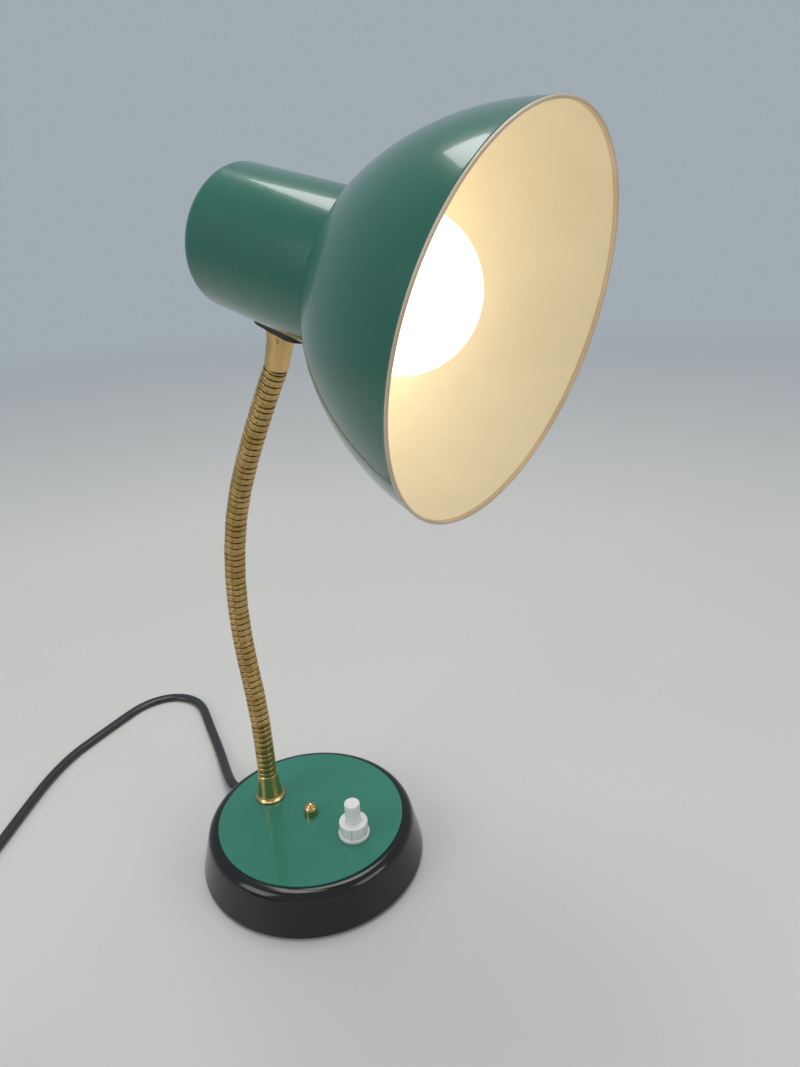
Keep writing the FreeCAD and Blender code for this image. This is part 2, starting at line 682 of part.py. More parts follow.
rear_cut = block(-wide, wide, -wide, wide, leg_rear, leg_rear + wide)
rear_cut.Placement = head_place
bracket = foot.fuse(leg).cut(rear_cut).removeSplitter()
nipple_way = Part.makeCylinder(nipple_radius + fit_gap, 2 * nipple_above_plate,
                               V(0, 0, foot_low - nipple_above_plate / 2))
nipple_way.Placement = upper_place
bracket = bracket.cut(nipple_way)
screw_places = []
for x in (-1, 1):
    p = FreeCAD.Placement(head_place)
    screw_places.append(head_place.multiply(at(0, x * holder_screw_spread / 2 - 1.0)))
for p in screw_places:
    way = Part.makeCylinder(holder_screw_radius + 0.1, 6, V(0, 0, holder_rear - 1))
    way.Placement = p
    bracket = bracket.cut(way)
keep("holder_bracket", bracket.Solids[0])

upper_nipple_top = bracket_foot_top + nut_thick - 0.2
upper_nipple_low = nipple_seat
keep("upper_nipple", tube(nipple_radius, nipple_bore, upper_nipple_low, upper_nipple_top, upper_place))
keep("upper_nipple_nut", hexagon(nut_across, nipple_radius + 0.03, bracket_foot_top,
                                 bracket_foot_top + nut_thick - 0.6, upper_place))

# ---------------------------------------------------------------- shade, spun from one disc
arc_centre_radius = shade_rim_radius - math.sqrt(shade_arc_radius ** 2 - shade_arc_station ** 2)
neck_slope = math.atan(housing_slope)
neck_radius = housing_radius(shoulder_end_station + shoulder_fillet) - housing_wall - shade_neck_gap
shoulder_start_radius = neck_radius + shoulder_share * (shade_rim_radius - neck_radius)
shade_arc_end = shade_arc_station + math.sqrt(shade_arc_radius ** 2 - (shoulder_start_radius - arc_centre_radius) ** 2)
arc_end_angle = math.asin((shade_arc_end - shade_arc_station) / shade_arc_radius)
# the shoulder ends where its fillet leads into the neck, which fits inside the housing
shoulder_end_radius = neck_radius
for step in range(40):
    fall = shoulder_start_radius - shoulder_end_radius
    shoulder_swing = 2 * (math.atan2(fall, shoulder_end_station - shade_arc_end) - arc_end_angle)
    shoulder_end_angle = arc_end_angle + shoulder_swing
    shoulder_end_radius = neck_radius + shoulder_fillet * (math.cos(neck_slope) - math.cos(shoulder_end_angle))
print("shoulder starts at", round(shade_arc_end, 2), "ends at radius", round(shoulder_end_radius, 2))


def dome_radius(s, inset=0.0):
    """Radius of the dome's main arc at station s, moved inwards by inset."""
    return arc_centre_radius + math.sqrt((shade_arc_radius - inset) ** 2 - (s - shade_arc_station) ** 2)


def shade_side(inset):
    """Edges of the shade's wall from near the rim to the flange, for its outer (0) or inner (wall) face."""
    big = shade_arc_radius - inset
    centre = (arc_centre_radius, shade_arc_station)
    a1 = math.asin((shade_arc_end - shade_arc_station) / shade_arc_radius)
    a0 = math.asin((0.0 - shade_arc_station) / big)
    am = (a0 + a1) / 2
    p0 = (centre[0] + big * math.cos(a0), centre[1] + big * math.sin(a0))
    pm = (centre[0] + big * math.cos(am), centre[1] + big * math.sin(am))
    p1 = (centre[0] + big * math.cos(a1), centre[1] + big * math.sin(a1))
    outer_end = (centre[0] + shade_arc_radius * math.cos(a1), centre[1] + shade_arc_radius * math.sin(a1))
    # shoulder: tangent arc from outer_end to the shoulder's end point
    dr = outer_end[0] - shoulder_end_radius
    ds = shoulder_end_station - outer_end[1]
    chord = math.hypot(dr, ds)
    chord_angle = math.atan2(dr, ds)
    swing = 2 * (chord_angle - a1)
    shoulder_radius = chord / 2 / math.sin(swing / 2)
    c2 = (outer_end[0] - shoulder_radius * math.cos(a1), outer_end[1] - shoulder_radius * math.sin(a1))
    a2 = a1 + swing
    sr = shoulder_radius - inset
    am2 = (a1 + a2) / 2
    q1 = (c2[0] + sr * math.cos(am2), c2[1] + sr * math.sin(am2))
    q2 = (c2[0] + sr * math.cos(a2), c2[1] + sr * math.sin(a2))
    # concave fillet into the neck, which follows the housing's taper
    fr = shoulder_fillet + inset
    c3 = (q2[0] + fr * math.cos(a2), q2[1] + fr * math.sin(a2))
    a3 = neck_slope
    am3 = (a2 + a3) / 2
    f1 = (c3[0] - fr * math.cos(am3), c3[1] - fr * math.sin(am3))
    f2 = (c3[0] - fr * math.cos(a3), c3[1] - fr * math.sin(a3))
    return p0, pm, p1, q1, q2, f1, f2


o0, om, o1, oq1, oq2, of1, of2 = shade_side(0.0)
i0, im, i1, iq1, iq2, if1, if2 = shade_side(shade_wall)
flange_rear = shade_flange_station + shade_wall
neck_out_end = (of2[0] - housing_slope * (flange_rear - of2[1]), flange_rear)
neck_in_end = (if2[0] - housing_slope * (shade_flange_station - if2[1]), shade_flange_station)
print("shade neck starts", [round(c, 2) for c in of2], "housing inside there",
      round(housing_radius(of2[1]) - housing_wall, 2))
bead = rim_bead_radius
shade = revolve_edges([
    line((i0[0], 0.0), (o0[0], 0.0)),
    arc(o0, om, o1), arc(o1, oq1, oq2), arc(oq2, of1, of2),
    line(of2, neck_out_end), line(neck_out_end, (shade_hole_radius, flange_rear)),
    line((shade_hole_radius, flange_rear), (shade_hole_radius, shade_flange_station)),
    line((shade_hole_radius, shade_flange_station), neck_in_end), line(neck_in_end, if2),
    arc(if2, if1, iq2), arc(iq2, iq1, i1), arc(i1, im, i0)])
bead_ring = Part.makeTorus(shade_rim_radius - shade_wall / 2, bead, V(0, 0, 0.0), V(0, 0, 1))
shade = shade.fuse(bead_ring).removeSplitter()
shade = Part.Solid(shade.Solids[0].Shells[0])
shade.Placement = head_place
keep("shade", shade)

# ---------------------------------------------------------------- lampholder
shoulder_rear = flange_rear + holder_shoulder_thick
holder = revolve([
    (holder_mouth_radius, holder_front), (holder_thread_radius - 0.4, holder_front),
    (holder_thread_radius, holder_front + 0.4), (holder_thread_radius, flange_rear),
    (holder_shoulder_radius, flange_rear), (holder_shoulder_radius, shoulder_rear),
    (holder_body_radius, shoulder_rear + 1.0), (holder_body_radius, holder_rear - 1.0),
    (holder_body_radius - 1.0, holder_rear), (0, holder_rear), (0, holder_rear - holder_floor),
    (12.0, holder_rear - holder_floor), (12.0, shell_rear), (shell_radius + fit_gap, shell_rear),
    (shell_radius + fit_gap, holder_front + holder_mouth_depth),
    (holder_mouth_radius, holder_front + holder_mouth_depth)], head_place)
for p in screw_places:
    way = Part.makeCylinder(holder_screw_radius - 0.2, 4, V(0, 0, holder_rear - 2.4))
    way.Placement = p
    holder = holder.cut(way)
keep("lampholder_body", holder)
keep("screw_shell", tube(shell_radius, shell_radius - shell_wall, shell_front, shell_rear, head_place))
keep("shade_ring", revolve([
    (holder_thread_radius + fit_gap, shade_flange_station - shade_ring_thick),
    (shade_ring_outer_radius - 0.5, shade_flange_station - shade_ring_thick),
    (shade_ring_outer_radius, shade_flange_station - shade_ring_thick + 0.5),
    (shade_ring_outer_radius, shade_flange_station),
    (holder_thread_radius + fit_gap, shade_flange_station)], head_place))
floor_s = holder_rear - holder_floor
contact = block(-3.4, 3.0, -2.0, 2.0, bulb_tip + 0.02, bulb_tip + 0.42)
contact = contact.fuse(block(2.6, 3.0, -2.0, 2.0, bulb_tip + 0.02, floor_s))
contact = contact.fuse(block(2.6, 9.0, -2.0, 2.0, floor_s - 0.4, floor_s)).removeSplitter()
contact.Placement = head_place
keep("centre_contact", contact)
screws = []
for p in screw_places:
    screws.append(revolve([
        (0, holder_rear - 2.2), (holder_screw_radius - 0.25, holder_rear - 2.2),
        (holder_screw_radius - 0.25, leg_rear), (2.6, leg_rear), (2.6, leg_rear + 1.2),
        (1.8, leg_rear + 1.8), (0, leg_rear + 1.8)], p))
keep("holder_screws", *screws)

# ---------------------------------------------------------------- bulb
globe_front = globe_station - globe_radius


def bulb_edges(radius, neck, end):
    """Half outline of the globe and its throat from the front pole to the throat's end."""
    touch = math.radians(38)
    g = (radius * math.cos(touch), globe_station + radius * math.sin(touch))
    throat_angle = touch
    # concave arc from the globe to the straight throat
    span = 1 - math.cos(throat_angle)
    fr = (radius * math.cos(touch) - neck) / span * 0.5
    cone = (g[0] - neck - fr * span) / math.tan(touch)
    h = (g[0] - math.tan(touch) * cone, g[1] + cone)
    m = (h[0] + fr * (math.cos(touch / 2) - math.cos(touch)) * -1.0, h[1] + fr * (math.sin(touch) - math.sin(touch / 2)))
    e = (neck, h[1] + fr * math.sin(touch))
    lowest = (0, globe_station - radius)
    belt = (radius, globe_station)
    return [arc(lowest, (radius * math.cos(math.radians(45)), globe_station - radius * math.sin(math.radians(45))),
                belt),
            arc(belt, (radius * math.cos(touch / 2), globe_station + radius * math.sin(touch / 2)), g),
            line(g, h), arc(h, m, e), line(e, (neck, end))], e


outer_edges, throat_outer = bulb_edges(globe_radius, bulb_neck_radius, bulb_cap_front + 3.0)
inner_edges, throat_inner = bulb_edges(globe_radius - glass_wall, bulb_neck_radius - glass_wall, bulb_cap_front + 3.0)
print("bulb throat starts", [round(c, 2) for c in throat_outer])
glass_loop = outer_edges + [line((bulb_neck_radius, bulb_cap_front + 3.0),
                                 (bulb_neck_radius - glass_wall, bulb_cap_front + 3.0))]
glass_loop += inner_edges + [line((0, globe_front), (0, globe_front + glass_wall))]
keep("bulb_glass", revolve_edges(Part.sortEdges(glass_loop)[0], head_place))
cap = [(bulb_neck_radius + 0.05, bulb_cap_front), (bulb_cap_radius, bulb_cap_front),
       (bulb_cap_radius, bulb_cap_front + 3.0)]
s = bulb_cap_front + 3.6
while s + thread_pitch < bulb_cap_rear:
    cap += [(bulb_cap_radius - thread_depth, s), (bulb_cap_radius, s + thread_pitch * 0.35),
            (bulb_cap_radius, s + thread_pitch * 0.65)]
    s += thread_pitch
cap += [(bulb_cap_radius - thread_depth, s), (11.0, bulb_cap_rear), (0, bulb_cap_rear),
        (0, bulb_cap_rear - 0.6), (10.4, bulb_cap_rear - 0.6), (10.9, bulb_cap_front + 3.6),
        (bulb_neck_radius + 0.05, bulb_cap_front + 3.2)]
keep("bulb_cap", revolve(cap, head_place))
keep("bulb_insulator", revolve([
    (0, bulb_cap_rear), (9.6, bulb_cap_rear), (5.2, bulb_tip - 1.2), (0, bulb_tip - 1.2)], head_place))
keep("bulb_contact", revolve([
    (0, bulb_tip - 1.2), (4.6, bulb_tip - 1.2), (3.6, bulb_tip), (0, bulb_tip)], head_place))
stem = revolve([
    (0, globe_station + 14), (2.2, globe_station + 14), (2.6, globe_station + 26), (5.6, bulb_cap_front - 1),
    (bulb_neck_radius - glass_wall - 0.1, bulb_cap_front + 1), (bulb_neck_radius - glass_wall - 0.1,
                                                                bulb_cap_front + 2.0),
    (0, bulb_cap_front + 2.0)], head_place)
supports = []
for x in (-1, 1):
    wire = round_route([(x * 1.4, 0, globe_station + 14), (x * 1.6, 0, globe_station + 6),
                        (x * 9.0, 0, globe_station - 2)], 0.3, "lead wire")
    wire_solid = pipe(wire, 0.35, "lead wire")
    wire_solid.Placement = head_place
    supports.append(wire_solid)
filament = Part.makeCylinder(0.5, 18.0, V(-9.0, 0, globe_station - 2.9), V(1, 0, 0))
filament.Placement = head_place
keep("bulb_filament_mount", stem, filament, *supports)

# ================================================================ push switch
body_low = plate_under - switch_body_depth
body = block(-switch_body_length / 2, switch_body_length / 2, -switch_body_width / 2, switch_body_width / 2,
             body_low, plate_under)
body = body.cut(block(-switch_body_length / 2 + switch_wall, switch_body_length / 2 - switch_wall,
                      -switch_body_width / 2 + switch_wall, switch_body_width / 2 - switch_wall,
                      body_low + switch_wall, plate_under - switch_wall))
body = body.fuse(Part.makeCylinder(bush_radius, bush_height, V(0, 0, plate_under)))
body = body.cut(Part.makeCylinder(bush_bore, bush_height + 4, V(0, 0, plate_under - 3)))
for x in (-1, 1):
    slot = block(x * contact_spread - 0.4, x * contact_spread + 0.4, -2.1, 2.1, body_low - 1, body_low + switch_wall + 1)
    body = body.cut(slot)
body = body.removeSplitter()
body.Placement = switch_place
keep("switch_body", body)

collar_top = plate_top + collar_height
collar_under = collar_top - 1.6
collar_bore = button_radius + button_clearance
collar_corner = collar_edge_round * (1 - math.sqrt(0.5))
collar = revolve_edges([
    line((bush_radius + fit_gap, plate_top), (collar_flange_radius - 0.2, plate_top)),
    line((collar_flange_radius - 0.2, plate_top), (collar_flange_radius, plate_top + 0.2)),
    line((collar_flange_radius, plate_top + 0.2), (collar_flange_radius, plate_top + collar_flange_height - 0.3)),
    line((collar_flange_radius, plate_top + collar_flange_height - 0.3),
         (collar_flange_radius - 0.3, plate_top + collar_flange_height)),
    line((collar_flange_radius - 0.3, plate_top + collar_flange_height),
         (collar_radius, plate_top + collar_flange_height)),
    line((collar_radius, plate_top + collar_flange_height), (collar_radius, collar_top - collar_edge_round)),
    arc((collar_radius, collar_top - collar_edge_round),
        (collar_radius - collar_corner, collar_top - collar_corner),
        (collar_radius - collar_edge_round, collar_top)),
    line((collar_radius - collar_edge_round, collar_top), (collar_bore, collar_top)),
    line((collar_bore, collar_top), (collar_bore, collar_under)),
    line((collar_bore, collar_under), (bush_radius + fit_gap, collar_under)),
    line((bush_radius + fit_gap, collar_under), (bush_radius + fit_gap, plate_top))])
slot_low = plate_top + collar_flange_height
for i in range(collar_slots):
    groove = block(collar_radius - collar_slot_depth, collar_radius + 1.0,
                   -collar_slot_width / 2, collar_slot_width / 2, slot_low, collar_top - collar_edge_round - 0.2)
    groove.rotate(V(0, 0, 0), V(0, 0, 1), collar_slot_turn + 360.0 / collar_slots * i)
    collar = collar.cut(groove)
collar.Placement = switch_place
keep("switch_collar", collar)

button_top = collar_top + button_stand
flange_top = plate_under - switch_wall - 0.1
flange_low = flange_top - button_flange_thick
bridge_thick = 0.4
bridge_low = flange_low - bridge_thick
peg_low = bridge_low - 2.2
button = revolve([
    (0, peg_low), (peg_radius, peg_low), (peg_radius, flange_low), (button_flange_radius, flange_low),
    (button_flange_radius, flange_top), (button_radius, flange_top), (button_radius, button_top - 0.7),
    (button_radius - 0.2, button_top - 0.2), (button_radius - 0.7, button_top), (0, button_top)], switch_place)
keep("push_button", button)
bridge = block(-8.4, 8.4, -2.0, 2.0, bridge_low, flange_low)
bridge = bridge.cut(Part.makeCylinder(peg_radius + 0.02, 3, V(0, 0, bridge_low - 1)))
bridge.Placement = switch_place
keep("contact_bridge", bridge)
contact_top = bridge_low - button_travel - 0.1
posts = []
for x in (-1, 1):
    post = block(x * contact_spread - 0.3, x * contact_spread + 0.3, -2.0, 2.0, body_low - 1.6, contact_top)
    post.Placement = switch_place
    posts.append(post)
keep("fixed_contacts", *posts)

spring_low = body_low + switch_wall + spring_wire + 0.02
spring_high = bridge_low - spring_wire - 0.02
steps = spring_turns * 4
spring_points = []
spring_tangents = []
for i in range(steps + 1):
    a = math.pi / 2 * i
    rise = (spring_high - spring_low) / steps
    spring_points.append(V(spring_radius * math.cos(a), spring_radius * math.sin(a), spring_low + rise * i))
    spring_tangents.append(V(-spring_radius * math.sin(a), spring_radius * math.cos(a), rise / (math.pi / 2)))
spring_edges = []
for i in range(steps):
    spring_edges += biarc(spring_points[i], spring_tangents[i], spring_points[i + 1], spring_tangents[i + 1])
spring = pipe(Part.Wire(spring_edges), spring_wire, "button spring")
spring.Placement = switch_place
keep("button_spring", spring)

# ================================================================ wiring
flex_points = [(neck_x, neck_y, nipple_low - 0.95)]
flex_points += [(p.x, p.y, p.z) for p in neck_points[1:]]
top_exit = neck_end + ferrule_axis * (upper_nipple_top + 0.3)
flex_points.append((top_exit.x, top_exit.y, top_exit.z))
neck_flex = pipe(round_route(flex_points, 0.3, "neck flex"), flex_radius, "neck flex")
keep("neck_flex", neck_flex)

core = 0.9                     # radius of one insulated core
exit_head = head_place.inverse().multVec(top_exit)
head_cores = []
for x in (-1, 1):
    start = (x * 1.0, exit_head.y - 1.0, exit_head.z)
    route = [(start[0], start[1], start[2]), (x * 4.5, exit_head.y - 1.4, exit_head.z + 5.0),
             (x * 9.6, exit_head.y - 2.4, exit_head.z + 11.0), (x * 11.0, exit_head.y - 3.6, holder_rear - 3.0),
             (x * 11.0, exit_head.y - 9.0, holder_rear + 3.2), (x * 10.5, 7.0, holder_rear + 3.4),
             (x * 10.5, 7.0, holder_rear)]
    core_solid = pipe(round_route(route, 0.42, "head core"), core, "head core")
    core_solid.Placement = head_place
    head_cores.append(core_solid)
keep("head_wires", *head_cores)

# one core goes from the cord straight to the neck, one to the switch, and one from the switch to the neck
sheath_y = inner_cord_end
flex_low = nipple_low - 1.0
post_y = switch_y + 2.0
left_post = switch_x - contact_spread
right_post = switch_x + contact_spread
low_z = weight_high + core + 0.1
through_core = [
    (gland_x - 1.4, sheath_y, gland_height), (gland_x - 1.4, sheath_y - 5, gland_height),
    (gland_x - 2.1, sheath_y - 14, low_z),
    (-4, 14, low_z), (-11, 15, low_z), (-12, 23.5, low_z + 0.2), (-7, neck_y, low_z + 1),
    (neck_x - 0.95, neck_y, low_z + 3), (neck_x - 0.95, neck_y, flex_low)]
feed_core = [
    (gland_x + 1.4, sheath_y, gland_height), (gland_x + 1.4, sheath_y - 5, gland_height),
    (gland_x + 2.1, sheath_y - 14, low_z),
    (9.5, 8, low_z + 0.5), (switch_x + 8.5, -8, low_z + 0.5), (right_post, post_y + 7, low_z + 0.5),
    (right_post, post_y, low_z + 0.5)]
switched_core = [
    (neck_x + 0.95, neck_y, flex_low), (neck_x + 0.95, neck_y - 0.1, low_z + 2.6), (-2.5, 20, low_z + 2.4),
    (-7.5, 2, low_z + 1.6), (left_post, -14, low_z + 0.8), (left_post, post_y + 5, low_z + 0.5),
    (left_post, post_y, low_z + 0.5)]
base_cores = []
for route in (through_core, feed_core, switched_core):
    base_cores.append(pipe(round_route(route, 0.42, "base core"), core, "base core"))
keep("base_wires", *base_cores)

# ================================================================ cord, gland, clamp
gland = revolve_edges([
    line((cord_width / 2 + 0.05, -gland_inside), (gland_tip_radius, -gland_inside)),
    line((gland_tip_radius, -gland_inside), (gland_tip_radius, -gland_flange_reach - 1.4)),
    line((gland_tip_radius, -gland_flange_reach - 1.4), (gland_flange_radius, -gland_flange_reach - 1.4)),
    line((gland_flange_radius, -gland_flange_reach - 1.4), (gland_flange_radius, -gland_flange_reach)),
    line((gland_flange_radius, -gland_flange_reach), (gland_hole_radius - fit_gap, -gland_flange_reach)),
    line((gland_hole_radius - fit_gap, -gland_flange_reach), (gland_hole_radius - fit_gap, 0.4)),
    line((gland_hole_radius - fit_gap, 0.4), (gland_big_radius, 0.4)),
    line((gland_big_radius, 0.4), (gland_big_radius, 1.6)),
    line((gland_big_radius, 1.6), (gland_tip_radius, gland_outside)),
    line((gland_tip_radius, gland_outside), (cord_width / 2 + 0.05, gland_outside)),
    line((cord_width / 2 + 0.05, gland_outside), (cord_width / 2 + 0.05, -gland_inside))])
gland.Placement = FreeCAD.Placement(V(gland_x, gland_station, gland_height), FreeCAD.Rotation(V(1, 0, 0), -90))
gland = gland.cut(block(gland_x - 10, gland_x + 10, gland_station - gland_inside - 1, gland_station - 4,
                        0, cover_high + 0.1))
keep("cord_gland", gland)
gland_tip = gland_station + gland_outside
cord_start = gland_tip
inner_cord = Part.makeCylinder(cord_width / 2, cord_start - inner_cord_end,
                               V(gland_x, inner_cord_end, gland_height), V(0, 1, 0))
keep("inner_cord", inner_cord)
clamp_top = weight_high + 3.2
clamp = block(gland_x - 9.5, gland_x + 9.5, clamp_y - 3.5, clamp_y + 3.5, weight_high, clamp_top)
clamp = clamp.cut(Part.makeCylinder(cord_width / 2 + 0.02, 2 * cord_channel,
                                    V(gland_x, clamp_y - cord_channel, gland_height), V(0, 1, 0)))
for x in (-1, 1):
    clamp = clamp.cut(Part.makeCylinder(1.55, 2 * clamp_top, V(gland_x + x * 6.6, clamp_y, 0)))
keep("cord_clamp", clamp)
clamp_screws = []
for x in (-1, 1):
    clamp_screws.append(revolve([
        (0, weight_high - 4.0), (1.5, weight_high - 4.0), (1.5, clamp_top), (2.6, clamp_top),
        (2.6, clamp_top + 1.2), (1.9, clamp_top + 1.7), (0, clamp_top + 1.7)], at(gland_x + x * 6.6, clamp_y)))
keep("clamp_screws", *clamp_screws)

# ---------------------------------------------------------------- coil of the spare cord
layer_turns = turns_per_layer
total_turns = layer_turns * coil_layers


def coil_radius(turns):
    """Radius of the cord's middle: in, out, in, out at a steady rate."""
    leg_index = int(turns / layer_turns + 1e-9)
    leg_index = min(leg_index, coil_layers - 1)
    part_way = turns - leg_index * layer_turns
    if leg_index % 2 == 0:
        return coil_outer_radius - coil_pitch * part_way
    return coil_outer_radius - coil_pitch * (layer_turns - part_way)


def coil_height(turns):
    """Height of the cord's middle: each climb takes the half turn round a reversal."""
    z = coil_lowest
    for k in range(1, coil_layers):
        u = (turns - (k * layer_turns - 0.25)) / 0.5
        u = min(1.0, max(0.0, u))
        z += coil_layer * (u * u * (3 - 2 * u))
    return z


def coil_point(turns):
    """Point of the coil's middle line after so many turns."""
    a = math.radians(coil_start_angle) + 2 * math.pi * turns
    r = coil_radius(turns)
    return V(coil_centre[0] + r * math.cos(a), coil_centre[1] + r * math.sin(a), coil_height(turns))


def slope_at(function, t, low, high):
    """Direction of a line given by a function of the turns."""
    a = max(low, t - 0.02)
    b = min(high, t + 0.02)
    return function(b) - function(a)


def tail_point(turns):
    """The cord comes down outside the coil to the plug's height."""
    u = turns / tail_turn
    out = min(1.0, u * 1.8)
    sink = max(0.0, (u - tail_drop_from) / (1 - tail_drop_from))
    drop = sink * sink * (3 - 2 * sink)
    a = math.radians(coil_start_angle) + 2 * math.pi * (total_turns + turns)
    r = coil_radius(total_turns) + tail_outset * (out * out * (3 - 2 * out))
    top = coil_height(total_turns)
    return V(coil_centre[0] + r * math.cos(a), coil_centre[1] + r * math.sin(a), top + (plug_height - top) * drop)


coil_edges = []
count = int(round(total_turns * 8))
coil_points = [coil_point(total_turns * i / count) for i in range(count + 1)]
coil_slopes = [slope_at(coil_point, total_turns * i / count, 0, total_turns) for i in range(count + 1)]
tail_count = 4
tail_points = [tail_point(tail_turn * i / tail_count) for i in range(tail_count + 1)]
tail_slopes = [slope_at(tail_point, tail_turn * i / tail_count, 0, tail_turn) for i in range(tail_count + 1)]
tail_slopes[0] = coil_slopes[-1]
tail_slopes[-1].z = 0.0
coil_slopes[0].z = 0.0
all_points = coil_points + tail_points[1:]
all_slopes = coil_slopes + tail_slopes[1:]
for i in range(len(all_points) - 1):
    coil_edges += biarc(all_points[i], all_slopes[i], all_points[i + 1], all_slopes[i + 1])
end_direction = V(all_slopes[-1]).normalize()
plug_point = all_points[-1] + end_direction * tail_run
coil_edges.append(Part.LineSegment(all_points[-1], plug_point).toShape())
coil_wire = Part.Wire(coil_edges)
start_direction = V(coil_slopes[0]).normalize()

# least gap of the coil to itself
samples = []
for edge in coil_edges:
    n = max(2, int(edge.Length / 2.0))
    for j in range(n):
        samples.append(edge.valueAt(edge.FirstParameter + (edge.LastParameter - edge.FirstParameter) * j / n))
along = [0.0]
for a, b in zip(samples[:-1], samples[1:]):
    along.append(along[-1] + (b - a).Length)
least_gap = 1e9
for i in range(len(samples)):
    for j in range(i + 1, len(samples)):
        if along[j] - along[i] > 6 * cord_width:
            least_gap = min(least_gap, (samples[i] - samples[j]).Length - cord_width)
print("coil least gap %.2f length %.1f outside width %.1f"
      % (least_gap, coil_wire.Length, 2 * coil_outer_radius + cord_width))
keep("cord_coil", pipe(coil_wire, cord_width / 2, "coil"))

coil_start = all_points[0]
approach = coil_start - start_direction * 30.0
route = [(gland_x, gland_tip, gland_height)]
route += [(gland_x + x, gland_tip + y, gland_height + z) for x, y, z in lead_first]
route += list(lead_points)
route += [(approach.x, approach.y, coil_start.z), (coil_start.x, coil_start.y, coil_start.z)]
lead_wire = round_route(route, 0.45, "cord lead", 0.9)
print("route", [[round(c, 1) for c in p] for p in route])
keep("cord_lead", pipe(lead_wire, cord_width / 2, "cord lead"))
print("cord in all %.1f" % (lead_wire.Length + coil_wire.Length), "wanted", cord_length)
print("coil start", [round(c, 2) for c in coil_start], "approach", [round(c, 2) for c in approach],
      "plug", [round(c, 2) for c in plug_point], "heading", [round(c, 3) for c in end_direction])

# ---------------------------------------------------------------- tie round the coil
inner_radius = coil_outer_radius - coil_pitch * layer_turns - cord_width / 2 - 0.5
outer_radius = coil_outer_radius + cord_width / 2 + 0.5
tie_top = coil_height(total_turns) + cord_width / 2 + 0.5
t = tie_band_thick
band = block(inner_radius - t, outer_radius + t, -tie_band_width / 2, tie_band_width / 2, 0.0, tie_top + t)
band = band.cut(block(inner_radius, outer_radius, -tie_band_width, tie_band_width, t, tie_top))
band.Placement = FreeCAD.Placement(V(coil_centre[0], coil_centre[1], 0),
                                   FreeCAD.Rotation(V(0, 0, 1), tie_angle))
keep("coil_tie", band)

# ---------------------------------------------------------------- plug
plug_angle = math.degrees(math.atan2(end_direction.y, end_direction.x))
plug_place = FreeCAD.Placement(V(plug_point.x, plug_point.y, 0), FreeCAD.Rotation(V(0, 0, 1), plug_angle))
w = plug_width / 2
outline = [V(0, -5, 0), V(plug_length * 0.5, -w, 0), V(plug_length, -w, 0), V(plug_length, w, 0),
           V(plug_length * 0.5, w, 0), V(0, 5, 0), V(0, -5, 0)]
plug = Part.Face(Part.makePolygon(outline)).extrude(V(0, 0, plug_thick))
upright = [e for e in plug.Edges if abs(e.BoundBox.ZLength - plug_thick) < 1e-6]
plug = plug.makeFillet(2.5, upright)
flat = [e for e in plug.Edges if e.BoundBox.ZLength < 1e-6]
plug = plug.makeChamfer(1.2, flat)
for y in (-1, 1):
    plug = plug.cut(Part.makeCylinder(pin_radius, 10, V(plug_length - 8, y * pin_spread / 2, plug_thick / 2), V(1, 0, 0)))
plug.Placement = plug_place
keep("plug_body", plug)
pins = []
for y in (-1, 1):
    pin = Part.makeCylinder(pin_radius, 8 + pin_length - 1.0,
                            V(plug_length - 8, y * pin_spread / 2, plug_thick / 2), V(1, 0, 0))
    tip = Part.makeCone(pin_radius, pin_radius - 0.9, 1.0,
                        V(plug_length + pin_length - 1.0, y * pin_spread / 2, plug_thick / 2), V(1, 0, 0))
    pin = pin.fuse(tip).removeSplitter()
    pin.Placement = plug_place
    pins.append(pin)
keep("plug_pins", *pins)

# ================================================================ write the pieces
os.makedirs("parts", exist_ok=True)
for name, shape in nodes.items():
    if not shape.isValid():
        print("NOT VALID", name)
    shape.exportStep("parts/%s.step" % name)
    print("%-22s solids %d volume %.1f" % (name, len(shape.Solids), shape.Volume))
print("nodes", len(nodes))
for i, p in enumerate(neck_points):
    print("joint", i, [round(c, 3) for c in p])
print("head place", head_place.Base, "wall point", wall_point)
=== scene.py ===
"""Scene of the dome shade desk lamp: camera, stage, lights, materials and dressed pieces.

Metres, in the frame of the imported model: the origin is the centre of the base's underside, +Z is up, and the
shade looks towards -Y. Stations s of the head are distances behind the plane of the shade's rim.
"""

import bpy
import math
from mathutils import Matrix, Vector


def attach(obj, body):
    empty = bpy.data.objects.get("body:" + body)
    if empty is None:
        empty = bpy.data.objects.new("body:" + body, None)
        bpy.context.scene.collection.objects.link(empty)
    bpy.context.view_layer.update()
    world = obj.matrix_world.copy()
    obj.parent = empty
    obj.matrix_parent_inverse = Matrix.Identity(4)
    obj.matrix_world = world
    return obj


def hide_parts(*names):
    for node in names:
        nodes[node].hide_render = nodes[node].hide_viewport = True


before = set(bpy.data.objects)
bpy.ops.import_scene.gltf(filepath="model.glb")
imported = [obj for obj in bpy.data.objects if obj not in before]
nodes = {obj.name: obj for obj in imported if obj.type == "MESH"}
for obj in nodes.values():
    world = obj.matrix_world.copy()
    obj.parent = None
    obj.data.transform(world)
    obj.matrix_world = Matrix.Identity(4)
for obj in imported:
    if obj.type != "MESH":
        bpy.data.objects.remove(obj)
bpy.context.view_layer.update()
MM = 0.001


